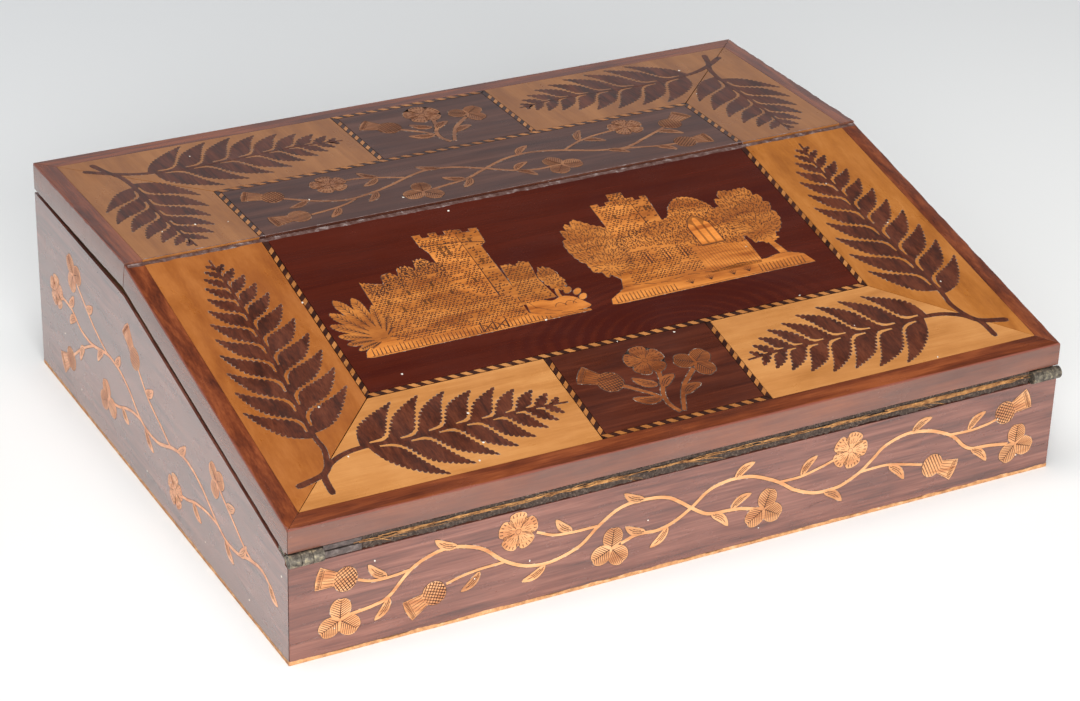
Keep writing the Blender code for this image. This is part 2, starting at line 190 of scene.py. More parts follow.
def wood(
    name, colours, along, figure, fibre, roughness, fibre_share=0.38, mottle=0.0, burr=None, haze=None,
    tone=0.10, coat=0.0, arris=None,
):
    """Varnished wood. `colours` run from its dark to its light figure, `along` is the axis that the grain
    follows, `figure` and `fibre` are (width, length) in millimetres of its broad bands and fine streaks,
    `mottle` is the share of clouding, `burr` the (place, size) in millimetres of a swirl of growth rings,
    `haze` the (colour, share, share on upright faces) of a pale veil: the dusty bloom on old polish and,
    where the share on upright faces is large, painted light on them. `arris` is the colour of a painted
    highlight on rounded edges, laid where their faces lean between upright and flat."""
    made, tree, shader = new_material(name)
    place = node(tree, "TexCoord")

    def noise(size, **settings):
        """Noise with clouds of that (width, length) in millimetres."""
        scale = [1 / (size[0] * MM)] * 3
        scale[along] = 1 / (size[1] * MM)
        stretched = node(tree, "Mapping", {"Vector": place.outputs["Object"], "Scale": scale}).outputs[0]
        return node(tree, "TexNoise", {"Vector": stretched, "Scale": 1.0, **settings}).outputs[0]

    def added(value, share, base):
        """base + share * (value - 0.5)"""
        return worked_out(tree, "ADD", worked_out(tree, "MULTIPLY_ADD", value, share, -share / 2), base)

    streak = noise(fibre, Detail=2.0, Roughness=0.6)
    value = added(streak, fibre_share, noise(figure, Detail=4.0, Distortion=0.7))
    if burr:
        spot, size = (np.array(v) * MM for v in burr)
        inputs = {"Vector": place.outputs["Object"], "Location": spot, "Scale": size}
        local = node(tree, "Mapping", inputs, vector_type="TEXTURE").outputs[0]
        inputs = {"Vector": local, "Scale": 2.6, "Distortion": 2.5, "Detail": 2.0, "Detail Scale": 0.8}
        wave = node(tree, "TexWave", inputs, wave_type="RINGS", rings_direction="SPHERICAL").outputs[1]
        away = node(tree, "VectorMath", {0: local}, operation="LENGTH").outputs["Value"]
        swirl = worked_out(tree, "MULTIPLY", wave, ranged(tree, away, 0.55, 0.0, 0.5, 1.6))
        value = worked_out(tree, "SUBTRACT", value, swirl)
    if mottle:
        value = added(noise((7, 9), Detail=5.0, Roughness=0.65), mottle, value)
    colour = ramp(tree, value, list(zip(np.linspace(0.28, 0.72, len(colours)), colours)))
    colour = toned(tree, colour, tone)
    bloom = noise((18, 30), Detail=6.0, Roughness=0.6)
    if haze or arris:
        facing = node(tree, "SeparateXYZ", {0: place.outputs["Normal"]}).outputs[2]
    # A pale veil, its share set by how upright the face is: dusty bloom on old polish, and painted light
    # where the upright share is large, as on the lippings.
    if haze:
        veil_colour, flat, upright = haze
        share = ranged(tree, facing, upright, flat)
        veil = worked_out(tree, "MULTIPLY", share, ranged(tree, bloom, 0.8, 1.2))
        colour = mixed(tree, veil, colour, srgb(veil_colour))
    # Painted highlight: a pale colour on faces that lean between upright and flat, as the rounded arrises do.
    if arris:
        stops = ((0.25, "000000"), (0.5, "ffffff"), (0.8, "ffffff"), (0.93, "000000"))
        colour = mixed(tree, ramp(tree, facing, stops), colour, srgb(arris))
    bump = bumped(tree, streak, 0.25, 0.00012)
    feed(tree, shader, {
        "Base Color": colour,
        "Roughness": ranged(tree, bloom, roughness * 0.8, roughness * 1.25),
        "Normal": bumped(tree, bloom, 0.12, 0.0004, Normal=bump),
        "Coat Weight": coat,
        "Coat Roughness": 0.16,
    })
    return made


def clouded(
    name, stops, scale, roughness, detail=4.0, coarseness=0.7, bump=(0.4, 0.0003), tone=0.2, metallic=0.0,
):
    """A dull stuff whose colour is only clouded. `stops` run from its hollows to its crests, `scale` is
    the number of clouds to the metre, `roughness` is one value or that of (hollows, crests), and `bump`
    the (strength, height in metres) of the crests."""
    made, tree, shader = new_material(name)
    place = node(tree, "TexCoord").outputs["Object"]
    inputs = {"Vector": place, "Scale": scale, "Detail": detail, "Roughness": coarseness}
    cloud = node(tree, "TexNoise", inputs).outputs[0]
    colour = ramp(tree, cloud, stops)
    if tone:
        colour = toned(tree, colour, tone)
    if bump:
        feed(tree, shader, {"Normal": bumped(tree, cloud, *bump)})
    if isinstance(roughness, tuple):
        roughness = ranged(tree, cloud, *roughness)
    feed(tree, shader, {"Base Color": colour, "Roughness": roughness, "Metallic": metallic})
    return made


def faded_yew(name, along):
    """Yew cut along its heart, the polish on the upright faces bleached and dusty: purple-brown streaks."""
    return wood(
        name, ("4a2018", "6e3a2c", "885242"), along, (5, 70), (0.9, 20), 0.26, 0.55,
        haze=("8e827c", 0.08, 0.10), coat=0.9,
    )


def dark_yew(name, along, colours=("38140a", "4e2010", "642e1a")):
    """Yew cut along its heart, French polished: brown with fine dark streaks."""
    return wood(name, colours, along, (8, 90), (1.0, 26), 0.3, 0.35, coat=0.2)


def figured_yew():
    """Yew from near a root, its growth rings swirling: deep red-brown under clean polish."""
    return wood(
        "figured_yew", ("42130a", "4a180b", "521c0e"), 0, (9, 110), (0.9, 30), 0.24, 0.34,
        burr=((26, -84, 80), (58, 30, 30)), coat=0.2,
    )


def red_yew(name, along):
    """Yew heartwood in solid bars, warm brown. Its upright faces carry a large pale veil, painted light that
    lifts them out of their shade to the look of the box's faded front, and its rounded edges a painted
    highlight.
    """
    return wood(
        name, ("4a1f10", "6e3319", "8f4a26"), along, (6, 60), (0.9, 18), 0.24, 0.4,
        mottle=0.2, haze=("74564c", 0.03, 0.55), coat=0.5, arris="7d4638",
    )


def arbutus(name, along, colours=("94561f", "a86628", "b67436")):
    """Strawberry-tree veneer, orange-tan, with faint clouds and brown flecks."""
    return wood(name, colours, along, (12, 80), (0.9, 22), 0.3, 0.3, mottle=0.3, coat=0.2)


def motif_wood(name, colours):
    """Arbutus cut for the flowers and stems, each piece its own shade."""
    return wood(name, colours, 0, (6, 30), (0.8, 14), 0.34, mottle=0.2, tone=0.12, coat=0.2)


def picture_wood():
    """Orange arbutus, its pieces scorched in hot sand to shade the pictures."""
    return wood(
        "scorched_arbutus", ("8e4a18", "b46a2a", "d0823a"), 0, (8, 30), (0.8, 14), 0.34, mottle=0.3, tone=0.2,
        coat=0.2,
    )


def fern_wood():
    """Bog yew, dark brown, sawn fine for the ferns."""
    return wood("bog_yew", ("371609", "512310", "65321c"), 1, (5, 40), (0.7, 9), 0.38, 0.7, coat=0.2)


def plain_pine(name, along):
    """Pine of the carcass, never polished and browned, darkened further as painted shade for where its tops
    show in the gap under the lids.
    """
    return wood(name, ("3c2613", "573a20", "6e4c2c"), along, (8, 110), (1.0, 24), 0.6, mottle=0.3)


def stained_shaded_pine():
    """Pine under the lids, stained very dark brown; in the thin gaps between the veneers over it this
    darkness is also painted shade.
    """
    return wood("stained_shaded_pine", ("1d0f08", "2b170d", "3a2114"), 0, (8, 110), (1.0, 24), 0.5)


def glue_line(name, stops):
    """The seam round each inlaid piece: dark glue, with pale filler where it has lifted."""
    return clouded(name, stops, 420, 0.7, detail=3.0, bump=None, tone=0)


def engraving():
    """Lines cut with a graver and rubbed with dark wax."""
    return clouded(
        "waxed_engraving", ((0.3, "341608"), (0.7, "5c2c10")), 260, 0.6, detail=2.0, coarseness=0.5,
        bump=None, tone=0,
    )


def torn_leather():
    """Thin brown hide, its grain gone, grey and felted."""
    return clouded("torn_leather", ((0.35, "261b14"), (0.55, "44352c"), (0.72, "766658")), 900, 0.9)


def bare_seam():
    """Wood along the gap, rubbed bare and gone grey."""
    return clouded("greyed_yew", ((0.35, "382e2b"), (0.55, "584b46"), (0.7, "7c716c")), 300, 0.5)


def leather_fibre():
    """The hide's inner threads, tan where the dye never reached."""
    return clouded("leather_fibre", ((0.35, "744822"), (0.65, "bb8850")), 300, 0.8)


def raw_foot():
    """Bare deal at the box's foot, pale and rubbed."""
    return clouded("raw_deal", ((0.35, "a06c44"), (0.55, "c8925f"), (0.7, "dcb48c")), 260, 0.7)


def white_filler():
    """Dots of filler and bare chalky spots."""
    return clouded("chalk_filler", ((0.4, "cfc6b8"), (0.6, "f2ece2")), 500, 0.7)


def rubbed_edge():
    """An arris rubbed through its polish: grey, smooth and nicked with white."""
    return clouded("rubbed_arris", ((0.4, "5a3c34"), (0.56, "7a605a"), (0.7, "b4a6a2")), 300, 0.28)


def old_brass():
    """Rolled brass gone brown and grey, with smoother clouds of paler, yellower metal."""
    return clouded(
        "worn_brass", ((0.35, "403933"), (0.52, "746c60"), (0.68, "b8aa8a")), 420, (0.62, 0.34), detail=5.0,
        bump=(0.5, 0.0002), tone=0, metallic=0.6,
    )


# Meshes


def closed_volume(points, groups):
    """Six times the volume inside closed faces: the sum of each fan triangle's triple product."""
    total = 0.0
    for group in groups:
        first = points[group[:, 0]]
        for i in range(1, group.shape[1] - 1):
            total += np.einsum("ij,ij->", first, np.cross(points[group[:, i]], points[group[:, i + 1]]))
    return total


def build_mesh(name, shells):
    """One mesh from closed shells, each (points in millimetres, lists of faces, tone). A shell whose
    faces point inwards is turned round. The tone goes to the points as an attribute."""
    points, loops, starts, tones = [], [], [], []
    shift = loop_at = 0
    for shell, groups, tone in shells:
        turned = closed_volume(shell - shell.mean(0), groups) < 0
        for group in groups:
            group = group[:, ::-1] if turned else group
            loops.append((group + shift).ravel())
            starts.append(loop_at + np.arange(len(group)) * group.shape[1])
            loop_at += group.size
        points.append(shell)
        tones.append(np.full(len(shell), tone))
        shift += len(shell)
    points = np.concatenate(points) * MM
    loops, starts = np.concatenate(loops), np.concatenate(starts)
    mesh = bpy.data.meshes.new(name)
    mesh.vertices.add(len(points))
    mesh.vertices.foreach_set("co", points.ravel().astype(np.float32))
    mesh.loops.add(len(loops))
    mesh.loops.foreach_set("vertex_index", loops.astype(np.int32))
    mesh.polygons.add(len(starts))
    mesh.polygons.foreach_set("loop_start", starts.astype(np.int32))
    mesh.update(calc_edges=True)
    attribute = mesh.attributes.new("tone", "FLOAT", "POINT")
    attribute.data.foreach_set("value", np.concatenate(tones).astype(np.float32))
    return mesh


def add_piece(name, shells, material, body, slot, replaced=(), smooth_angle=None):
    """Makes a piece of closed shells, which rides on a body and may stand for parts of the frame."""
    mesh = build_mesh(name, shells)
    if smooth_angle:
        mesh.shade_smooth()
        mesh.set_sharp_from_angle(angle=math.radians(smooth_angle))
    else:
        mesh.shade_flat()
    mesh.materials.append(material)
    piece = bpy.data.objects.new(name, mesh)
    bpy.context.scene.collection.objects.link(piece)
    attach(piece, body)
    if replaced:
        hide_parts(*replaced)


def tube(rings):
    """A closed bar from rings[station, corner]: the rings joined in order, the first and last filled."""
    stations, count = rings.shape[:2]
    index = np.arange(stations * count).reshape(stations, count)
    turned = np.roll(index, -1, axis=1)
    sides = np.stack([index[:-1], turned[:-1], turned[1:], index[1:]], axis=-1).reshape(-1, 4)
    return rings.reshape(-1, 3), [sides, index[:1, ::-1], index[-1:]]


def slab(outline, low, high):
    """A flat closed slab: the outline (u, v) at the heights low and high, joined by its rim."""
    count = len(outline)
    foot = np.column_stack([outline, np.full(count, low)])
    top = np.column_stack([outline, np.full(count, high)])
    i = np.arange(count)
    j = (i + 1) % count
    rim = np.stack([i, j, j + count, i + count], axis=1)
    return np.concatenate([foot, top]), [rim, i[None, ::-1], (i + count)[None]]


def strokes(starts, ends, widths, low, high):
    """Many graver's cuts at once: each a slim wedge, `widths` across its start and half that at its end."""
    starts, ends = np.atleast_2d(starts), np.atleast_2d(ends)
    way = ends - starts
    length = np.linalg.norm(way, axis=1, keepdims=True) + 1e-9
    side = np.column_stack([-way[:, 1], way[:, 0]]) / length * np.reshape(widths, (-1, 1)) / 2
    ring = np.stack([starts - side, ends - side / 2, ends + side / 2, starts + side], axis=1)
    heights = np.array([low] * 4 + [high] * 4)
    points = np.concatenate([ring, ring], axis=1)
    points = np.concatenate([points, np.broadcast_to(heights, points.shape[:2])[..., None]], axis=2)
    box = np.array([[0, 3, 2, 1], [4, 5, 6, 7], [0, 1, 5, 4], [1, 2, 6, 5], [2, 3, 7, 6], [3, 0, 4, 7]])
    faces = (box[None] + 8 * np.arange(len(starts))[:, None, None]).reshape(-1, 4)
    return points.reshape(-1, 3), [faces]


def wander(count, knots, random):
    """A smooth random line of values between -1 and 1, with that many turning points."""
    return through(np.column_stack([np.arange(knots), random.uniform(-1, 1, knots)]), count)[:, 1]


def worn_section(corners, soft, stations, seed):
    """A bar's section, repeated at each station. The corners named in `soft` (index: radius) are rounded
    by a curve whose radius wanders along the bar, as use wears an edge."""
    random = np.random.default_rng(seed)
    corners = np.array(corners, float)
    parts = []
    for i, corner in enumerate(corners):
        if i not in soft:
            parts.append(np.broadcast_to(corner, (stations, 1, 2)))
            continue
        radius = soft[i] * (1 + 0.45 * wander(stations, 40, random))[:, None, None]
        before, after = (corners[j] - corner for j in (i - 1, (i + 1) % len(corners)))
        s = np.linspace(0, 1, 5)[None, :, None]
        near = corner + radius * before / np.linalg.norm(before)
        far = corner + radius * after / np.linalg.norm(after)
        parts.append(rounded(near, corner, far, s))
    return np.concatenate(parts, axis=1)


# Curves and outlines on a face, as rows of (u, v)


def through(points, count=24):
    """A smooth curve through points: Catmull-Rom, each stretch a cubic whose ends lean along the line
    between the points on either side."""
    p = np.array(points, float)
    p = np.concatenate([2 * p[:1] - p[1:2], p, 2 * p[-1:] - p[-2:-1]])
    t = np.linspace(0, len(p) - 3, count)
    i = np.minimum(t.astype(int), len(p) - 4)
    t = (t - i)[:, None]
    a, b, c, d = p[i], p[i + 1], p[i + 2], p[i + 3]
    return b + t * (c - a) / 2 + t**2 * (a - 2.5 * b + 2 * c - d / 2) + t**3 * (1.5 * (b - c) + (d - a) / 2)


def sideways(line):
    """The unit normals, to the left, of a line's points."""
    way = np.gradient(line, axis=0)
    way /= np.linalg.norm(way, axis=1, keepdims=True) + 1e-9
    return np.column_stack([-way[:, 1], way[:, 0]])


def band(line, left, right=None):
    """The outline of a strip along a line, `left` and `right` wide at each point."""
    right = left if right is None else right
    normal = sideways(line)
    left = line + normal * np.reshape(left * np.ones(len(line)), (-1, 1))
    right = line - normal * np.reshape(right * np.ones(len(line)), (-1, 1))
    return np.concatenate([left, right[::-1]])


def travelled(line):
    """The distance along a line up to each of its points."""
    return np.concatenate([[0], np.cumsum(np.linalg.norm(np.diff(line, axis=0), axis=1))])


def read_along(line, travel, distances):
    """What a line's rows come to at distances along it."""
    return np.column_stack([np.interp(distances, travel, line[:, k]) for k in (0, 1)])


def rounded(start, corner, end, s):
    """The curve from start to end that a corner draws towards itself, at shares `s` of the way."""
    return (1 - s) ** 2 * start + 2 * s * (1 - s) * corner + s**2 * end


def directions(angles):
    """Unit steps at angles in radians, as rows."""
    return np.column_stack([np.cos(angles), np.sin(angles)])


def eased(t, low, high):
    """0 below low, 1 above high, a smooth step between."""
    s = np.clip((t - low) / (high - low), 0, 1)
    return s * s * (3 - 2 * s)


def offset_line(line, amount):
    """The line, moved to its left."""
    return line + sideways(line) * amount


def scalloped(line, depth, pitch=2.4):
    """A line with small rounded teeth, |sin| of the distance, on its outer part, pushed to its left by
    `depth`. It is resampled at seven points a tooth."""
    travel = travelled(line)
    teeth = max(round(travel[-1] / pitch), 2)
    t = np.linspace(0, 1, teeth * 7 + 1)
    even = read_along(line, travel, t * travel[-1])
    bite = depth * (np.abs(np.sin(math.pi * t * teeth)) - 0.35) * eased(t, 0.15, 0.4) * (1 - t) ** 0.3
    return offset_line(even, bite[:, None])


def grown(outline, amount):
    """The outline pushed out along its corners' normals."""
    ahead, behind = np.roll(outline, -1, 0), np.roll(outline, 1, 0)
    way = ahead - behind
    way /= np.linalg.norm(way, axis=1, keepdims=True) + 1e-9
    area = np.sum(outline[:, 0] * ahead[:, 1] - outline[:, 1] * ahead[:, 0])
    return outline + np.column_stack([way[:, 1], -way[:, 0]]) * amount * np.sign(area)


def round_outline(centre, radii, turn=0.0, count=28, dents=0.0):
    """An ellipse of radii (along, across), turned by `turn` degrees, with a dent of that share of its
    radius at its far end."""
    angle = np.linspace(0, 2 * math.pi, count, endpoint=False)
    reach = 1 - dents * np.exp(-((np.minimum(angle, 2 * math.pi - angle) / 0.3) ** 2))
    return rotated(directions(angle) * radii * reach[:, None], turn) + centre


def rotated(points, degrees):
    """Points turned anticlockwise about the origin."""
    c, s = math.cos(math.radians(degrees)), math.sin(math.radians(degrees))
    return points @ np.array([[c, s], [-s, c]])


def crossings(outline, start, way):
    """Distances along a straight line at which it crosses the outline, in order."""
    a, b = outline, np.roll(outline, -1, 0)
    edge = b - a
    side = edge[:, 0] * way[1] - edge[:, 1] * way[0]
    side = np.where(np.abs(side) < 1e-12, 1e-12, side)
    gap = a - start
    t = (edge[:, 0] * gap[:, 1] - edge[:, 1] * gap[:, 0]) / side
    s = (way[0] * gap[:, 1] - way[1] * gap[:, 0]) / side
    return np.sort(t[(s >= 0) & (s < 1)])


def within(outline, points):
    """Which points lie inside an outline: an upward line from each crosses it an odd number of times."""
    a, b = outline[:, None], np.roll(outline, -1, 0)[:, None]
    spans = (a[..., 0] > points[:, 0]) != (b[..., 0] > points[:, 0])
    run = np.where(spans, b[..., 0] - a[..., 0], 1.0)
    height = a[..., 1] + (points[:, 0] - a[..., 0]) / run * (b[..., 1] - a[..., 1])
    return np.sum(spans & (height > points[:, 1]), axis=0) % 2 == 1


def hatching(outline, degrees, spacing, margin=0.3):
    """Parallel cuts across an outline, `spacing` apart: (starts, ends)."""
    way = np.array([math.cos(math.radians(degrees)), math.sin(math.radians(degrees))])
    normal = np.array([-way[1], way[0]])
    reach = outline @ normal
    starts, ends = [], []
    for offset in np.arange(reach.min() + spacing * 0.6, reach.max(), spacing):
        origin = normal * offset
        cuts = crossings(outline, origin, way)
        for enter, leave in zip(cuts[0::2], cuts[1::2]):
            if leave - enter > 2.5 * margin:
                starts.append(origin + way * (enter + margin))
                ends.append(origin + way * (leave - margin))
    return np.reshape(starts, (-1, 2)), np.reshape(ends, (-1, 2))


# The marquetry


class Marquetry:
    """Gathers what is inlaid on one face: the pieces, the glue seam round each and the engraved cuts."""

    SUNK = -0.25
    SEAM_HEIGHT = 0.012
    PIECE_HEIGHT = 0.035
    LAYER = 0.022

    def __init__(self, seed, seam=0.28, mirrored=False, cut_share=1.0, cut_height=0.175):
        self.random = np.random.default_rng(seed)
        self.cut_share = cut_share
        self.cut_height = cut_height
        self.seam = seam
        self.flip = np.array([-1.0, 1.0]) if mirrored else np.array([1.0, 1.0])
        self.pieces, self.seams, self.cuts = [], [], []

    def inlay(self, outline, tone=None, layer=None):
        """Pieces that overlap lie on different layers, so that no two of them are quite level."""
        tone = self.random.uniform(-1, 1) if tone is None else tone
        outline = outline * self.flip
        layer = len(self.pieces) % 6 if layer is None else layer
        self.pieces.append((*slab(outline, self.SUNK, self.PIECE_HEIGHT + self.LAYER * layer), tone))
        self.seams.append((*slab(grown(outline, self.seam), self.SUNK, self.SEAM_HEIGHT), 0.0))

    def cut(self, starts, ends, width=0.3):
        """Engraves a graver's cut from each start to its end."""
        if len(starts):
            starts, ends = np.reshape(starts, (-1, 2)) * self.flip, np.reshape(ends, (-1, 2)) * self.flip
            self.cuts.append((*strokes(starts, ends, width * self.cut_share, 0.0, self.cut_height), 0.0))

    def courses(self, outline, pitch=1.35, brick=1.9, slope=0.0, width=0.6, breaks=0.25):
        """Stone courses: rows of dashes across an outline, every other row shifted, with an upright tick
        at some joints. `breaks` is the share of dashes left out."""
        starts, ends = hatching(outline, slope, pitch, 0.25)
        way = rotated(np.array([[1.0, 0.0]]), slope)[0]
        for row, (start, end) in enumerate(zip(starts, ends)):
            reach = float((end - start) @ way)
            at = np.arange((row % 2) * brick / 2 - brick * 0.4, reach, brick) + self.random.normal(0, 0.12)
            at = at[(at > 0) & (at + brick * 0.62 < reach) & (self.random.random(len(at)) > breaks)]
            if len(at):
                left = start + way * at[:, None]
                right = left + way * brick * self.random.uniform(0.5, 0.72, (len(at), 1))
                self.cut(left, right, width)
                upright = self.random.random(len(at)) < 0.55
                self.cut(right[upright], right[upright] + (0, pitch * 0.62), width * 0.7)

    def scribble(self, outline, pitch=1.5, length=1.5, width=0.3, way=None, spread=60.0, skip=None):
        """Leafage: short cuts at a jittered spacing inside an outline but not in `skip`. They point out
        from `way`, or up, give or take `spread` degrees."""
        low, high = outline.min(0), outline.max(0)
        u, v = np.meshgrid(np.arange(low[0], high[0], pitch), np.arange(low[1], high[1], pitch))
        spots = np.column_stack([u.ravel(), v.ravel()])
        spots += self.random.uniform(-0.45, 0.45, spots.shape) * pitch
        aim = np.full(len(spots), 90.0)
        if way is not None:
            aim = np.degrees(np.arctan2(spots[:, 1] - way[1], spots[:, 0] - way[0]))
        aim = np.radians(aim + self.random.uniform(-spread, spread, len(spots)))
        tips = spots + directions(aim) * length
        kept = within(outline, spots) & within(outline, tips)
        if skip is not None:
            kept &= ~(within(skip, spots) | within(skip, tips))
        self.cut(spots[kept], tips[kept], width)

    def stem(self, points, width, end=None, layer=None):
        """A stalk through points, which tapers to the width `end` where that is given."""
        end = width if end is None else end
        layer = len(self.pieces) % 2 if layer is None else layer
        line = through(points, 10 * len(points))
        self.inlay(band(line, np.linspace(width, end, len(line)) / 2), tone=0.6, layer=layer)

    def leaf(self, base, tip, width=3.8, bow=0.10):
        """A pointed leaf: its width follows a sine that leans to the base, and its rib bows a little."""
        base, tip = np.array(base, float), np.array(tip, float)
        across = np.array([base[1] - tip[1], tip[0] - base[0]])
        line = through([base, (base + tip) / 2 + across * bow, tip], 15)
        t = np.linspace(0, 1, 15)
        half = width / 2 * np.sin(math.pi * t**0.85) ** 0.65 + 0.1
        self.inlay(band(line, half), layer=3)
        normal = sideways(line)
        for side, first, last in ((0.0, 1, 13), (-0.42, 3, 11), (0.42, 2, 10)):
            rows = (line + normal * (half * side)[:, None])[first:last:2]
            self.cut(rows[:-1], rows[1:], width * (0.09 if side else 0.11))

    def rose(self, centre, radius, turn=90.0):
        """A disc with five notches for its petals, and a small eye. Cuts run out from the eye, along the
        petals' seams, and short and deep round the rim."""
        centre = np.array(centre, float)

        def rays(angles, low, high, width):
            """Cuts between two shares of the radius."""
            way = directions(np.radians(angles))
            ends = [centre + way * np.reshape(share, (-1, 1)) * radius for share in (low, high)]
            self.cut(*ends, width)

        def rim(angles):
            """How far the edge reaches, as a share of the radius."""
            from_seam = np.abs((angles - turn) % 72 - 36)
            return 0.97 - 0.07 * (from_seam / 36) ** 2 - 0.2 * np.exp(-(((36 - from_seam) / 7) ** 2))

        angles = np.linspace(0, 360, 90, endpoint=False)
        reach = rim(angles + 36) * radius
        edge = directions(np.radians(angles)) * reach[:, None]
        self.inlay(edge + centre, tone=0.3, layer=3)
        rays(turn + 36 + 72 * np.arange(5), np.full(5, 0.2), np.full(5, 0.72), 0.36)
        fine = np.arange(30) * 12 + turn + 6
        odd = np.arange(30) % 2
        rays(fine, np.where(odd, 0.34, 0.42), np.where(odd, 0.56, 0.66), 0.2)
        rays(fine, rim(fine + 36) - 0.2, rim(fine + 36) - 0.05, 0.46)
        eye = round_outline(centre, (radius * 0.13, radius * 0.13), count=14)
        self.inlay(eye, tone=0.1, layer=4)
        self.cut(eye, np.roll(eye, -1, 0), 0.18)

    def trefoil(self, centre, turns, size=5.2):
        """Three notched round leaves, each with a rib and slanting veins."""
        centre = np.array(centre, float)
        for layer, turn in enumerate(turns, 3):
            lobe = round_outline((size * 1.02, 0), (size * 1.0, size * 0.92), dents=0.12)
            self.inlay(rotated(lobe, turn) + centre, layer=layer)
            rib = np.array([[size * 0.15, 0], [size * 1.8, 0]])
            self.cut(rotated(rib[:1], turn) + centre, rotated(rib[1:], turn) + centre, 0.46)
            for side in (-1, 1):
                feet = np.linspace(size * 0.25, size * 1.7, 8)
                starts = np.column_stack([feet, np.full(8, side * 0.15)])
                way = np.array([math.cos(1.05), side * math.sin(1.05)])
                reach = [crossings(lobe, start, way).max(initial=0.4) for start in starts]
                ends = starts + way * (np.array(reach)[:, None] - 0.35)
                self.cut(rotated(starts, turn) + centre, rotated(ends, turn) + centre, 0.36)

    def thistle(self, ball, crown, radius=5.8, both_ways=True):
        """A round hatched head, and a crown that widens to its slightly arched and fringed outer edge,
        whose middle is at `crown`."""
        ball, crown = np.array(ball, float), np.array(crown, float)
        way = crown - ball
        far = np.linalg.norm(way)
        turn = math.degrees(math.atan2(way[1], way[0]))
        head = round_outline(ball, (radius * 0.92, radius), turn)
        foot, half_foot, half_far = radius * 0.72, radius * 0.54, radius * 0.92
        across = np.linspace(-1, 1, 9)
        arch = np.column_stack([far - 0.8 * across**2, across * half_far])
        fan = np.concatenate([[(foot, -half_foot)], arch, [(foot, half_foot)]])
        self.inlay(rotated(fan, turn) + ball, tone=0.3, layer=3)
        self.inlay(head, tone=0.2, layer=4)
        for slant in (turn + 45, turn - 45) if both_ways else (turn - 42,):
            self.cut(*hatching(head, slant, 1.35, 0.2), 0.46)

        def rays(count, *places):
            """Points spread over the crown's width, at each of the places along it."""
            t = np.linspace(-0.9, 0.9, count)
            for x in places:
                half = np.interp(x, [foot, far], [half_foot, half_far])
                yield rotated(np.column_stack([np.full(count, x), t * half]), turn) + ball

        self.cut(*rays(13, far - 2.4, far - 0.9), 0.42)
        self.cut(*rays(6, foot + 1.2, far - 3.2), 0.24)
        hem = next(rays(2, far - 2.9))
        self.cut(hem, hem[::-1], 0.2)

    def fern(self, route, first, reaches, layer, stem=2.7):
        """A fern frond. Its rib follows `route`, and the first leaflets leave it at the distance `first`;
        `reaches` says how far those reach to its left and right. `layer` is the rib's, where two ferns cross.
        Between two leaflets lies a narrow channel of the light wood. It leaves the rib nearly along it,
        swings out, and ends at the tip of the leaflet below it, so a leaflet is what lies between two
        channels, with a free scalloped end."""
        rib = through(route, 200)
        travel = travelled(rib)
        total = travel[-1]
        normal = np.pad(sideways(rib), ((30, 30), (0, 0)), "edge")
        normal = np.column_stack([np.convolve(normal[:, k], np.ones(61) / 61, "valid") for k in (0, 1)])
        normal /= np.linalg.norm(normal, axis=1, keepdims=True)

        def beside(points, sign):
            """From (along the rib, away from it) to the face."""
            along, away = points.T
            lean = read_along(normal, travel, np.maximum(along, first))
            ahead = np.array([normal[-1, 1], -normal[-1, 0]])
            past = np.maximum(along - total, 0)[:, None] * ahead
            return read_along(rib, travel, along) + past + lean * (sign * away)[:, None]

        t = np.linspace(0, 1, 41)
        swing = np.radians(4 + 58 * eased(t, 0.08, 0.42) - 14 * eased(t, 0.6, 1.0))
        channel = np.cumsum(directions(swing), axis=0)
        channel = (channel - channel[0]) / (channel[-1, 1] - channel[0, 1])
        gap = np.linspace(0.8, 1.85, 41)[:, None]
        belly = np.array([(-0.2, 0), (-0.12, 0.3), (0.07, 0.56), (0.42, 0.82)])
        knots = [0, 1.5 / total, first / total, 1]
        half = np.interp(travel / total, knots, [stem * 0.3, stem / 2, stem * 0.36, 0.35])
        self.inlay(band(rib, half), tone=0.0, layer=layer)
        for sign, reach in zip((1, -1), reaches):
            start, below = first + (0 if sign > 0 else 3.0), None
            while start < total - 2.0:
                share = (start - first) / (total - first)
                size = reach * max(1 - share**1.8, 0.02) ** 0.8 * self.random.uniform(0.97, 1.04)
                beside_rib = np.interp(start, travel, half) + 0.45 * (1 - share)
                upper = channel * (size - beside_rib) + (start, beside_rib)
                edge = offset_line(upper, gap)
                tip = edge[-1]
                if below is None:
                    lower = through([*(belly * size + (start, 0)), tip], 30)
                else:
                    leave = np.searchsorted(below[:, 1], tip[1] * 0.55)
                    kept = offset_line(below[: leave + 1], -gap[: leave + 1])
                    way = kept[-1] - kept[-2]
                    way /= np.linalg.norm(way)
                    bend = kept[-1] + way * np.linalg.norm(tip - kept[-1]) * 0.3
                    s = np.linspace(0, 1, 14)[1:, None]
                    lower = np.concatenate([kept, rounded(kept[-1], bend, tip, s)])
                root = [(start, 0), (start - 3, 0)]
                outline = np.concatenate([scalloped(lower, 1.7), scalloped(edge, -1.3)[::-1], root])
                tone = self.random.uniform(-0.5, 0.5)
                self.inlay(beside(outline, sign), tone, layer=len(self.pieces) % 3)
                below = upper
                start += 12.2 * (size / 18.6) ** 0.55

    def finish(self, name, face, body, material, seam_material, cut_material, slot):
        """Lays everything on its face as up to three pieces."""
        layers = (
            (name, self.pieces, material),
            (name + "_seam", self.seams, seam_material),
            (name + "_cuts", self.cuts, cut_material),
        )
        for piece_name, shells, finish in layers:
            if shells:
                laid = [(face.lay(points), groups, tone) for points, groups, tone in shells]
                add_piece(piece_name, laid, finish, body, slot)


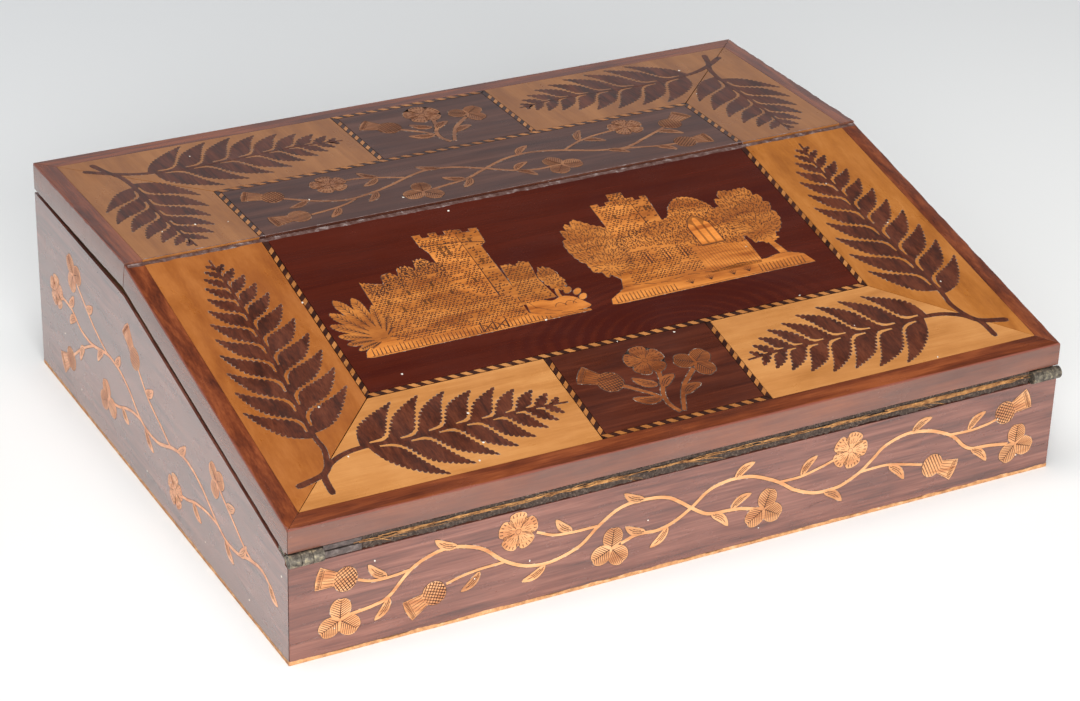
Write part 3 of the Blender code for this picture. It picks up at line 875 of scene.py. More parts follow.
def stringing(start, end, slant):
    """The light blocks of a feather string from start to end, which runs along u or along v. Each block
    is a parallelogram whose sides lean by `slant`, +1 or -1, millimetre for millimetre."""
    start, end = np.array(start, float), np.array(end, float)
    length = np.linalg.norm(end - start)
    way = (end - start) / length
    across = np.abs(way[::-1])
    half = STRING_BLOCK_WIDTH / 2
    lean = way * half * slant
    for at in np.arange(1.2, length - STRING_BLOCK - 1.0, STRING_PITCH):
        foot = start + way * at
        low, high = foot - across * half - lean, foot + across * half + lean
        yield np.array([low, low + way * STRING_BLOCK, high + way * STRING_BLOCK, high])


def lay_strings(materials):
    """Light blocks over the dark strings of both lids. Their places follow the strings of the frame."""
    middle = (STRING_OUTER_U + STRING_INNER_U) / 2
    sprig_middle = SPRIG_U - STRING_WIDTH / 2
    for name, face, body, cross, edge, far in (
        ("slope_stringing", SLOPE_FACE, "slope_lid", 65.4, 9.9, SLOPE_LENGTH - 0.3),
        ("top_stringing", LEVEL_FACE, "top_lid", 80.6, 136.1, 28.6),
    ):
        blocks = Marquetry(len(name), seam=0.0)
        runs = [((-u, v), (u, v), -1) for u, v in ((middle, cross), (sprig_middle + 1, edge))]
        for sign in (-1, 1):
            for u, end, gap in ((sign * middle, far, 1), (sign * sprig_middle, edge, 1.5)):
                runs.append(((u, min(cross, end) + gap), (u, max(cross, end) - 1), 1))
        for run in runs:
            for block in stringing(*run):
                blocks.inlay(block + blocks.random.normal(0, 0.05, (1, 2)))
        finishes = materials["string_light"], materials["seam"], None
        blocks.finish(name, face, body, *finishes, "feather_stringing")


def front_vine():
    """Two stems that cross in the middle, with thistles, roses and trefoils on their shoots."""
    vine = Marquetry(11)
    vine.stem([(-163.5, 17.4), (-152, 18.9), (-145, 21.6), (-136, 31), (-128, 35.4), (-118, 37.4),
               (-108, 35.2), (-101, 31.8), (-92.4, 24.4), (-83, 19.4), (-73, 17.6), (-64, 19), (-55.4, 22.4),
               (-48, 28.9), (-39.7, 34.6), (-32, 36.8), (-22, 36.6), (-14, 35), (-8, 31.5), (-2.4, 27.3),
               (4.7, 22.5), (10, 21), (16, 20.7), (24, 19.8), (31, 17.8)], 1.6)
    vine.stem([(-36, 18), (-28, 20.3), (-18, 19.8), (-10, 22), (-1.8, 26.7), (6.9, 33.3), (17, 35.8),
               (28, 34.9), (37.6, 31.1), (44.3, 27.3), (51.2, 22.4), (62, 18.2), (73, 18), (80, 20.2),
               (86, 23.4), (92, 28.4), (98, 33.3), (109, 36.6), (121, 35.2), (130.6, 31.5), (136, 28),
               (141, 22.9), (146, 20.2), (155, 19.5), (166, 17.8)], 1.6)
    shoots = (
        [(-159.2, 33.2), (-154, 31.2), (-148.8, 30.5), (-142, 30.8), (-135.5, 31.6)],
        [(-119, 20.2), (-112, 22), (-103.7, 23.2), (-92.4, 23.6)],
        [(-77, 34.2), (-69.2, 30.8), (-60.2, 29.7), (-48, 29.6)],
        [(42.8, 28.4), (53.7, 28.4), (64.4, 30.7), (71, 32.6)],
        [(133, 30.4), (143.6, 29.9), (152.3, 30.8), (158, 32.2)],
        [(85, 22.9), (96.7, 23.2), (104.6, 22.1), (119, 18.4)],
    )
    for shoot in shoots:
        vine.stem(shoot, 1.25, layer=2)
    leaves = (
        ((-146, 31.3), (-154.6, 38.9)), ((-144.9, 20.6), (-151.8, 11.5)), ((-114, 37), (-124.4, 42.6)),
        ((-103.4, 22), (-112.2, 14.5)), ((-60, 30.5), (-68, 37.8)), ((-72.4, 16.8), (-83.5, 11.6)),
        ((-25.2, 37), (-35.4, 42.2)), ((-24.1, 20.8), (-34.2, 25.6)), ((-12.9, 20.2), (-21.5, 12)),
        ((19.8, 35.8), (29.5, 41.8)), ((54, 28.8), (61.9, 37)), ((18.6, 20.9), (28.8, 26.4)),
        ((8.7, 20.8), (17.6, 12.8)), ((66.7, 17.4), (76.6, 10.4)), ((111.9, 36.6), (122.1, 42)),
        ((100.7, 22), (109.6, 13.4)), ((142.7, 30.4), (151.7, 38)), ((145.5, 19.9), (154.8, 11.8)),
    )
    for base, tip in leaves:
        vine.leaf(base, tip)
    vine.thistle((-164.7, 34.9), (-177.8, 38.2))
    vine.thistle((-124.5, 17.2), (-137.4, 11.2))
    vine.thistle((124.6, 16.6), (137.6, 11.4), both_ways=False)
    vine.thistle((162.8, 34.7), (176.0, 39.7))
    vine.rose((-85.8, 36.8), 9.6)
    vine.rose((79, 35.4), 9.4, turn=70)
    vine.trefoil((-167.3, 16), (86, 208, -38))
    vine.trefoil((-40.6, 16.6), (84, 205, -50))
    vine.trefoil((35.6, 16.6), (72, 214, -30))
    vine.trefoil((170.2, 16.8), (86, -20, 230))
    return vine


def level_vine():
    """Two stems that cross in the middle and end in thistles, with roses and trefoils between."""
    vine = Marquetry(12)
    vine.stem([(-100, 61), (-88.8, 53.3), (-80, 49.2), (-72.3, 47.8), (-59.8, 50.3), (-48.2, 54.5),
               (-38.3, 59), (-27.1, 62.4), (-14.8, 60.5), (-2.9, 54), (10.7, 45), (21.3, 41.7),
               (30, 41.9)], 1.6)
    vine.stem([(-34, 41.8), (-26, 43.4), (-18.2, 44.9), (-11.8, 46.8), (-1.6, 52.2), (13.2, 58.9),
               (28.2, 60.3), (40.8, 56.8), (56.3, 49.6), (69, 46.4), (77, 48.2), (85.5, 52.5),
               (100, 59.5)], 1.6)
    for shoot in (
        [(-95.5, 40), (-83.7, 41.8), (-76, 44), (-70.4, 47)],
        [(-66, 67.4), (-60.7, 67.2), (-50.7, 64.1), (-39.7, 59.1)],
        [(68, 46.4), (76.3, 44.4), (86.2, 41.7), (96, 40.4)],
        [(43.2, 55.8), (49, 59.4), (55.7, 62.6), (65.1, 65.4), (75, 66.8)],
    ):
        vine.stem(shoot, 1.25, layer=2)
    for base, tip in (
        ((-91.4, 54.6), (-101.8, 50.2)), ((-81.2, 41.8), (-88.4, 33.5)), ((-50.7, 64.4), (-58.2, 73)),
        ((-51.8, 63.9), (-61.1, 58)), ((-58.4, 50.4), (-65.7, 41.8)), ((-20, 62), (-30.1, 67.7)),
        ((-14.3, 46.6), (-23.9, 51.9)), ((-12.1, 46.4), (-19.2, 37.7)), ((20.3, 60.4), (29.4, 67.9)),
        ((11.2, 45.1), (20.7, 51.2)), ((11.6, 44.6), (18.4, 35.7)), ((54.9, 62.6), (61, 73.5)),
        ((57.3, 62.6), (66.9, 57.4)), ((62, 47.8), (70.8, 40.9)), ((94.9, 56.9), (105.7, 49.8)),
        ((85.7, 41.4), (93.2, 34.4)),
    ):
        vine.leaf(base, tip)
    vine.thistle((-104, 64.5), (-117, 71.2))
    vine.thistle((-101.2, 40.7), (-115.4, 40.0), both_ways=False)
    vine.thistle((105.3, 62.5), (117.2, 71.0))
    vine.thistle((101, 40.7), (114.8, 40.2))
    vine.rose((-75, 66.6), 9.3)
    vine.rose((83.5, 68), 9.3)
    vine.trefoil((-38.8, 41.2), (75, 190, -48))
    vine.trefoil((34.2, 41.6), (118, 232, -8))
    return vine


def sprig(rise):
    """Thistle, rose and trefoil on one root, `rise` above the lid's own edge."""
    spray = Marquetry(13, seam=0.4)

    def lifted(*points):
        return np.array(points, float) + (0, rise)

    spray.stem(lifted((-17, 36.9), (-11.8, 32.3), (-7.1, 28), (-4.4, 24)), 1.9, 1.5)
    spray.stem(lifted((2.6, 41), (0.2, 32.5), (-2.9, 26.3), (-3.5, 19.6), (-1.2, 14)), 2.0, 1.8)
    spray.stem(lifted((18.6, 37.6), (14, 33.6), (9, 29), (4.8, 22.4), (0.8, 14.2)), 2.0, 1.8)
    for ends in (
        ((-1.9, 32.9), (-11, 40)), ((-0.8, 30.6), (8.2, 36.8)), ((-4.6, 24.3), (-17, 27.8)),
        ((6.2, 23.6), (16.6, 27.8)),
    ):
        spray.leaf(*lifted(*ends), width=4.6)
    spray.thistle(*lifted((-21.2, 40.8), (-32.6, 49.4)), radius=6.3)
    spray.rose(*lifted((0.4, 49.0)), 9.8)
    spray.trefoil(*lifted((21.4, 41)), (152, 38, -62), size=5.0)
    return spray


def side_vine():
    """A long stem that climbs from the low front corner to the tall back one. Places are (y, z)."""
    vine = Marquetry(14, seam=0.2, cut_share=0.5, cut_height=0.165)
    vine.stem([(113, 49.8), (106, 49.7), (99.5, 48.6), (89.3, 43.9), (76.4, 43), (66, 45), (54.6, 47.6),
               (46, 47.4), (38, 46), (28.3, 41.9), (17, 34.6), (6.5, 32), (-5.2, 32.6), (-14, 35.4),
               (-22.1, 38.5), (-33, 40.8), (-44.7, 40), (-55.4, 36.6), (-64.4, 31.8), (-73, 27.2),
               (-82.2, 24.2), (-92.8, 24.6), (-101, 27.2), (-109.3, 29.6), (-119.5, 30.9), (-128, 28.1)], 1.6)
    for shoot in (
        [(92, 66), (85, 61.5), (78.9, 57.7), (70.9, 53.4), (62, 50), (54.6, 47.7)],
        [(72, 43.9), (81.2, 39.1), (91, 33), (101, 25.5)],
        [(16, 58.6), (10.4, 53.6), (5.6, 49.8), (-2, 46), (-10, 42.8), (-20, 38.2)],
        [(53, 24.3), (43, 26.6), (33.6, 30.4), (24, 33), (15.1, 33.8)],
        [(-31, 19.4), (-39, 21.4), (-48.3, 24.7), (-61, 27), (-72.6, 27.3)],
        [(-75.5, 46.4), (-80, 43.4), (-86.2, 40.1), (-94.9, 35.3), (-102, 31.6), (-109.3, 29.7)],
    ):
        vine.stem(shoot, 1.3, layer=2)
    for base, tip in (
        ((104, 50.4), (97.5, 57.4)), ((96, 46.6), (104.5, 40.6)), ((80.9, 58.8), (72.4, 63.4)),
        ((86.2, 36.4), (92.2, 27)), ((60.4, 46.4), (68.4, 38)), ((45.2, 47.6), (38.6, 54)),
        ((38, 28.6), (30.6, 23.6)), ((7.8, 51.2), (-1.6, 56.4)), ((10.4, 32.6), (0.6, 24.4)),
        ((-29.6, 40.6), (-38.4, 47.2)), ((-44.8, 23.6), (-54, 17.8)), ((-83, 42.4), (-91.8, 45.2)),
        ((-80.4, 24.4), (-89.4, 17)), ((-126.8, 28.8), (-135.4, 22.4)), ((-96, 25.4), (-103.4, 33.4)),
    ):
        vine.leaf(base, tip, width=4.2)
    vine.thistle((105, 21.6), (117.8, 13.8))
    vine.thistle((19.8, 62.2), (31.0, 73.4))
    vine.rose((121.4, 49.4), 8.8)
    vine.rose((-24.2, 18.2), 8.6)
    vine.trefoil((96.4, 69), (48, 160, -62))
    vine.trefoil((56.6, 23.2), (72, -22, 196))
    vine.trefoil((-72.4, 48), (44, 150, -66), size=4.6)
    return vine


def crumbled(points, pitch, depth, seed):
    """A jagged line through points, for the broken top of a wall: teeth every `pitch`, up to `depth` deep."""
    points = np.array(points, float)
    travel = travelled(points)
    count = int(travel[-1] / pitch) * 2 + 1
    at = np.linspace(0, travel[-1], count)
    line = read_along(points, travel, at)
    drop = np.random.default_rng(seed).uniform(0.2, 1.0, count) * depth
    line[1:-1, 1] -= drop[1:-1] * (np.arange(1, count - 1) % 2)
    return line


def battlements(start, end, merlon, height):
    """A tower's toothed top from start to end: square merlons as wide as the gaps between them."""
    start, end = np.array(start, float), np.array(end, float)
    count = 2 * max(round(np.linalg.norm(end - start) / merlon / 2), 1) + 1
    t = np.repeat(np.linspace(0, 1, count + 1), 2)[1:-1]
    up = np.repeat(np.arange(count) % 2 == 0, 2) * height
    return start + (end - start) * t[:, None] + np.column_stack([np.zeros(len(t)), up])


def crown_outline(centre, radii, lobes, depth, turn, seed):
    """A tree's crown: an ellipse with rounded lobes, and small ones upon those."""
    random = np.random.default_rng(seed)
    angle = np.linspace(0, 2 * math.pi, lobes * 12, endpoint=False)
    warp = angle + 0.25 * np.sin(3 * angle + random.uniform(0, 6))
    reach = 1 + depth * (np.abs(np.sin(warp * lobes / 2)) - 0.6)
    reach += depth * 0.3 * (np.abs(np.sin(angle * lobes * 1.5)) - 0.6)
    return rotated(directions(angle) * radii * reach[:, None], turn) + centre


def bank(picture, left, right, tops, fence):
    """The strip of ground that a picture stands on: rounded at its left, with a fence of upright cuts
    along its foot between the two places in `fence`."""
    foot = PICTURE_FOOT
    top = through(tops, 50)
    base = [(right, foot), (left + 3.2, foot), (left, foot + 0.8), (left + 1.2, foot + 4)]
    picture.inlay(np.concatenate([base, top]), tone=0.5, layer=4)
    rail = np.arange(fence[0], fence[1], 1.9)
    high = np.interp(rail, top[:, 0], top[:, 1])
    foot_at = np.column_stack([rail, np.full(len(rail), foot + 0.7)])
    tall = np.minimum(high - foot - 2.2, 5.2) * picture.random.uniform(0.75, 1.0, len(rail))
    picture.cut(foot_at, foot_at + np.column_stack([0.25 * tall, tall]) * (0.4, 1), 0.5)
    turf = top[2:-2:3]
    picture.cut(turf, top[4::3][: len(turf)] - (0, 0.5), 0.3)
    under = np.linspace((left + 2.5, foot + 0.55), (right - 2, foot + 0.55), 30)
    picture.cut(under[:-1], under[1:], 0.25)


def window(picture, left, foot, wide, tall, lights=1):
    """Slim lights side by side, on the top layer: each an upright pale piece with dark cuts at its edges."""
    step = wide / lights
    for i in range(lights):
        pane = np.array([(0, 0), (step * 0.72, 0), (step * 0.72, tall), (0, tall)]) + (left + i * step, foot)
        picture.inlay(pane, tone=1.6, layer=5)
        picture.cut(pane[[0, 1, 3]], pane[[3, 2, 2]], 0.5)


def slots(picture, places):
    """Small dark window openings, each with its lower left corner at a place."""
    for place in places:
        picture.inlay(np.array([(0, 0), (1.3, 0), (1.3, 3.2), (0, 3.2)]) + place, tone=-3.4, layer=5)


def castle_ruin():
    """A made-up castle: a long broken wall, a tall tower with battlements, a lower wall, a fan of
    big leaves, a bush and a mound."""
    picture = Marquetry(21, seam=0.3)
    front = np.concatenate([[(-41, 104), (-57, 112), (-57.6, 147), (-59.6, 152)],
                            battlements((-59.8, 157.5), (-40.6, 156.6), 6.0, 2.6), [(-40, 150)]])
    shade = np.concatenate([[(-32, 106), (-40.6, 104), (-40.2, 150)],
                            battlements((-40.4, 156.6), (-28.6, 155), 7.0, 2.2),
                            [(-29.4, 146.5), (-32.4, 144.6)]])
    picture.inlay(front, tone=0.7, layer=1)
    picture.inlay(shade, tone=-0.5, layer=0)
    picture.courses(np.concatenate([[(-41, 109.6), (-47, 111.8), (-56.6, 119.4)], front[2:]]), breaks=0.12)
    picture.courses(np.concatenate([[(-31.8, 109), (-40.6, 109)], shade[2:]]), pitch=1.7, breaks=0.5)
    picture.cut([(-40.4, 108.6), (-59.4, 151.6), (-40.2, 149.4)],
                [(-40.2, 155), (-40.6, 149.8), (-29.6, 146.8)], 0.5)
    slots(picture, [(-37.2, 133), (-36.2, 148.2), (-52, 142.2), (-52, 146), (-49.2, 142.2), (-49.2, 146)])
    tops = [(-96.5, 136.6), (-90, 133.4), (-86.6, 132.2), (-85.4, 138.2), (-81, 139.2), (-77.8, 135.6),
            (-76.4, 141), (-71.8, 141.6), (-68.4, 137.6), (-67, 143.8), (-62.4, 144.4), (-59.6, 140),
            (-55.5, 139)]
    ragged = crumbled(tops, 2.0, 1.2, 1)
    wall = np.concatenate([[(-33.5, 93), (-98, 93.5)], ragged, [(-55.8, 118), (-47, 111), (-33.5, 107.6)]])
    picture.inlay(wall, tone=-0.2, layer=2)
    picture.courses(wall, breaks=0.1)
    picture.scribble(ragged_band(ragged, 9), 1.2, 1.2, 0.5)
    slots(picture, [(-90.5, 118), (-86, 111.6), (-79.2, 121.5), (-75, 113.5), (-72.6, 113.5), (-66.8, 124),
                    (-60.6, 116.5), (-46.8, 121)])
    tops = [(-30.6, 128.6), (-25.4, 128.4), (-24.4, 126.6), (-21.6, 129), (-17, 127.6)]
    low = np.concatenate([[(-16.4, 101), (-33.6, 100), (-32, 112)], crumbled(tops, 2, 1.2, 2),
                          [(-18.6, 115)]])
    picture.inlay(low, tone=-0.8, layer=3)
    picture.courses(low, breaks=0.1)
    tips = [(205, 11), (193, 16), (176, 19), (160, 22), (144, 26), (128, 29), (112, 33), (96, 30), (80, 23),
            (62, 17), (44, 10)]
    leaf_fan(picture, np.array([-101.5, 97.5]), np.array(tips, float))
    crown = crown_outline((-12.6, 113.2), (8.6, 4.8), 9, 0.22, 100, 3)
    picture.inlay(band(through([(-12.6, 110), (-14.6, 103), (-14.2, 98)], 8), 0.8), tone=0.0, layer=2)
    picture.inlay(crown, tone=-0.8, layer=4)
    picture.scribble(crown, 1.1, 1.1, 0.44, (-12.6, 108), 50)
    for x, y in ((-9.4, 103.6), (-5.6, 101.4), (-4.8, 97.4)):
        picture.inlay(round_outline((x, y), (2.6, 1.5), 40, 14), layer=3)
    mound = through([(-33, 92), (-31, 103.4), (-26.5, 102.6), (-20, 98.8), (-14, 100.2), (-9, 98.4),
                     (-5.4, 93.4), (-5.2, 90), (-20, 89)], 40)
    picture.inlay(mound, tone=0.9, layer=5)
    for x in (-17.5, -12.5, -8.5):
        arc = round_outline((x, 92.5), (3.0, 4.0), count=16)[1:8]
        picture.cut(arc[:-1], arc[1:], 0.34)
    picture.cut([(-30.6, 101), (-29.2, 96.8), (-25, 93.6)], [(-28.6, 95.8), (-24.4, 93.8), (-18.4, 91)], 0.3)
    gate = np.array([(-58.6, 88.4), (-52.4, 88.4), (-46.2, 88.4)])
    picture.cut(gate, gate + (0.8, 6.6), 0.8)
    picture.cut([*gate[:2], *gate[1:]], [*(gate[1:] + (0.6, 5)), *(gate[:2] + (0.6, 5))], 0.6)
    tops = [(-106.4, 97.6), (-100, 98.4), (-92, 95.8), (-84, 97.4), (-76, 95.4), (-66, 98.2), (-57, 96.2),
            (-48, 99.2), (-38, 96.6), (-29, 92.4), (-18, 89.8), (-5.6, 88.9)]
    bank(picture, -114.6, -5.4, tops, (-111, -25))
    return picture


def leaf_fan(picture, root, tips):
    """Big lobed leaves that fan out from a root, so close that only their ends are apart. `tips` are
    (degrees, reach). One toothed outline holds them, and every leaf has a rib and slanting veins."""

    def at(angle, reach):
        return root + directions(np.radians(angle)) * (0.92, 1) * np.reshape(reach, (-1, 1))

    angle, reach = tips.T
    notch = at((angle[1:] + angle[:-1]) / 2, 0.76 * np.minimum(reach[1:], reach[:-1]))
    lobes = np.stack([at(angle + 5, reach * 0.88), at(angle, reach), at(angle - 5, reach * 0.88)], axis=1)
    knots = np.concatenate([np.concatenate([lobes[:-1], notch[:, None]], axis=1).reshape(-1, 2), lobes[-1]])
    edge = scalloped(through(knots, 300), 0.4, 1.5)
    picture.inlay(np.concatenate([edge, [root + (2, -1), root - (3, 1)]]), tone=-0.7, layer=5)
    picture.cut(at(angle, reach * 0.3), at(angle, reach * 0.9), 0.42)
    for share in np.arange(0.36, 0.9, 0.08):
        for side in (-1, 1):
            picture.cut(at(angle, reach * share), at(angle + side * 4.6, reach * (share + 0.09)), 0.36)


def ragged_band(top, depth):
    """The outline of a band that hangs down from a line, its lower edge wavy."""
    lower = top[::-1] - (0, depth)
    lower[:, 1] += 1.6 * np.sin(lower[:, 0] * 0.9)
    return np.concatenate([top, lower])


def abbey_ruin():
    """A made-up abbey: a square tower, an ivy-grown nave, an arched window of three lights, and trees."""
    picture = Marquetry(22, seam=0.3)
    tower = np.concatenate([[(57, 133), (29.4, 128)], battlements((30, 154), (49.2, 154.4), 5.0, 2.4),
                            [(49.6, 134)]])
    flank = np.concatenate([[(57.2, 133), (49.6, 133)], battlements((49.4, 154.4), (59.2, 153.8), 4.2, 2.2)])
    turret = np.array([(40.4, 152), (48.2, 152), (49, 161.4), (41.2, 161.8)])
    for shape, tone, layer in ((turret, 0.0, 0), (tower, 0.6, 2), (flank, 0.1, 1)):
        picture.inlay(shape, tone=tone, layer=layer)
        picture.courses(shape, breaks=0.15 if shape is tower else 0.5)
    picture.scribble(turret, 1.4, 1.2, 0.3)
    slots(picture, [(36.6, 143.6), (53.8, 145.6), (55.8, 145.6)])
    picture.cut([(49.6, 134)], [(49.4, 157)], 0.5)
    ivy = through([(27, 128), (34, 133.6), (44, 134.8), (55, 136.2), (61.4, 138), (65.4, 144.4),
                   (71.6, 149.4), (78.4, 148.4), (83.6, 143), (86.6, 134), (87.6, 122), (88.6, 110)], 90)
    nave = np.concatenate([[(88, 94), (16, 94), (22, 112)], scalloped(ivy, 0.7, 2.4)])
    picture.inlay(nave, tone=0.2, layer=3)
    leafage = np.concatenate([ivy, [(62.6, 114), (61, 117)], [(50, 119), (38, 121), (27, 120)]])
    arch = pointed_arch((72.4, 113.6), 12.4, 22)
    picture.scribble(leafage, 1.2, 1.2, 0.46, skip=arch)
    stones = np.array([(21, 97.6), (60.4, 97.6), (61.6, 116.4), (50, 118.4), (38, 120), (26.5, 119)])
    picture.courses(stones, breaks=0.1)
    for x in (35.8, 45.6, 54.6):
        window(picture, x, 109.4, 3.8, 7.8, 2)
    sill = np.array([(62.4, 114), (60.6, 94.4), (87.4, 94.4), (88.6, 110.2)])
    picture.inlay(sill, tone=0.9, layer=4)
    picture.cut(*hatching(sill, 93, 1.6, 0.6), 0.18)
    picture.inlay(arch, tone=-1.6, layer=4)
    picture.cut(arch, np.roll(arch, -1, 0), 0.55)
    for x, tall in ((68.3, 15.5), (72.4, 19.2), (76.5, 15.5)):
        picture.inlay(pointed_arch((x, 114.6), 3.0, tall), tone=2.2, layer=5)
    for centre, radii, turn, trunk, seed in (
        ((18.4, 126.2), (21.4, 13.4), 96, [(21, 116), (20.4, 106), (17.2, 96)], 5),
        ((99.4, 128.4), (20.6, 13.6), 84, [(97.4, 116), (99.4, 106), (101.4, 96)], 6),
    ):
        picture.inlay(band(through(trunk, 10), np.linspace(0.9, 1.9, 10)), tone=0.3, layer=2)
        branch = np.array(trunk[1], float)
        for side in (-1, 1):
            twig = through([branch, branch + (side * 3, 2.4), branch + (side * 5.4, 3)], 8)
            picture.inlay(band(twig, 0.55), tone=0.2, layer=1)
        crown = crown_outline(centre, radii, 11, 0.16, turn, seed)
        picture.inlay(crown, tone=-0.4, layer=5)
        picture.scribble(crown, 1.35, 1.4, 0.42, (centre[0], centre[1] - 14), 35)
        for lift in (-8, -2, 4, 10):
            arc = round_outline((centre[0] + lift / 3, centre[1] + lift), (6.5, 4.2), count=20)[1:10]
            picture.cut(arc[:-1], arc[1:], 0.34)
    tops = [(13, 95), (17, 97.6), (24, 97.4), (36, 95.2), (48, 96.8), (62, 95.6), (76, 97.2), (88, 96.2),
            (100, 98), (105, 96.6), (109.4, 94.6)]
    bank(picture, 5.6, 111.8, tops, (8.5, 40))
    rail = np.arange(84, 108, 1.9)
    rail = np.column_stack([rail, np.full(len(rail), 88.3)])
    picture.cut(rail, rail + (0.6, 5.1), 0.5)
    for x in (48, 58, 70, 78):
        ends = directions(np.radians(np.linspace(50, 130, 5))) * 3.4 + (x, 90.2)
        picture.cut(np.broadcast_to((x, 90.2), ends.shape), ends, 0.34)
    return picture


def pointed_arch(foot, wide, tall):
    """The outline of a pointed window: upright sides under two arcs, each struck from the far springing."""
    half = wide / 2
    rise = wide * math.sqrt(3) / 2
    angle = np.radians(np.linspace(0, 60, 9))
    right = np.column_stack([-half + wide * np.cos(angle), tall - rise + wide * np.sin(angle)])
    left = right[::-1] * (-1, 1)
    return np.concatenate([[(-half, 0), (half, 0)], right, left[1:]]) + np.array(foot)


# Each fern: its face and body, its rib's route, where its leaflets start, and how far they reach
FERNS = {
    "slope_fern_left": (
        SLOPE_FACE, "slope_lid",
        [(-163.7, 14), (-162.8, 24.5), (-159, 30.5), (-156.2, 40), (-156.8, 50), (-155.5, 75), (-153.5, 100),
         (-152.6, 125), (-152.2, 148), (-153.4, 171)],
        40, (21.5, 23),
    ),
    "slope_fern_front_left": (
        SLOPE_FACE, "slope_lid",
        [(-176, 22.4), (-163, 26), (-156.5, 31.8), (-147.5, 35.5), (-135.7, 36.4), (-121, 35), (-106, 36),
         (-94, 36.4), (-81, 35.8), (-66, 36.4), (-45, 35)],
        43, (22, 23.5),
    ),
    "top_fern_back_left": (
        LEVEL_FACE, "top_lid",
        [(-172.4, 126.7), (-159.2, 117.9), (-146.5, 113), (-128.5, 111), (-108, 111.2), (-88, 112.2),
         (-69.8, 112.6), (-48, 110.2)],
        35, (23.5, 23),
    ),
    "top_fern_left": (
        LEVEL_FACE, "top_lid",
        [(-166.4, 132.4), (-163, 122.4), (-158.8, 113.4), (-157.1, 100), (-157.2, 77.5), (-156.6, 56),
         (-154.6, 31.5)],
        34, (22.5, 20.5),
    ),
}


def lay_all(materials):
    """The flowers, pictures, strings and ferns on every face."""
    seam, cuts = materials["seam"], materials["cuts"]
    for flowers, name, face, body, finish in (
        (front_vine(), "front_vine", FRONT_FACE, "base", "motif"),
        (side_vine(), "left_vine", LEFT_FACE, "base", "side_motif"),
        (side_vine(), "right_vine", RIGHT_FACE, "base", "side_motif"),
        (level_vine(), "top_vine", LEVEL_FACE, "top_lid", "top_motif"),
        (sprig(SPRIG_RISE), "top_sprig", LEVEL_FACE, "top_lid", "top_motif"),
        (sprig(0), "slope_sprig", SLOPE_FACE, "slope_lid", "sprig"),
    ):
        flowers.finish(name, face, body, materials[finish], seam, cuts, "light_arbutus")
    views = materials["picture"], seam, cuts, "light_arbutus"
    castle_ruin().finish("castle_picture", SLOPE_FACE, "slope_lid", *views)
    abbey_ruin().finish("abbey_picture", SLOPE_FACE, "slope_lid", *views)
    lay_strings(materials)
    for name, (face, body, route, first, reaches) in FERNS.items():
        for mirrored, word in ((False, "left"), (True, "right")):
            frond = Marquetry(len(name) + mirrored, seam=0.22, mirrored=mirrored)
            frond.fern(route, first, reaches, 4 if "front" in name or "back" in name else 3)
            frond.finish(
                name.replace("left", word) + "_frond", face, body, materials["fern"], materials["fern_seam"],
                cuts, "dark_yew"
            )


# Edges, leather and wear

STATIONS = 90
REBATE_Y = FRONT_Y + 2.7
REBATE_TOP = 53.07
LIP_UNDERSIDE = 51.79
LEVEL_UNDERSIDE = 91.82
SEAM_BACK_Y = -143.65
TEAR_Y = -145.75
SOFT_TOP, SOFT_FOOT = 0.9, 0.4
FRONT_BAR_SHORT, SIDE_BAR_SHORT = 0.12, 0.2
SLOPE_END_LEAN = 2.8
LEVEL_END_LEAN = 0.23


def slope_height(y):
    """How high the sloping lid's top is at a place along the box's depth."""
    return FRONT_HEIGHT + math.tan(SLOPE) * (y - FRONT_Y)


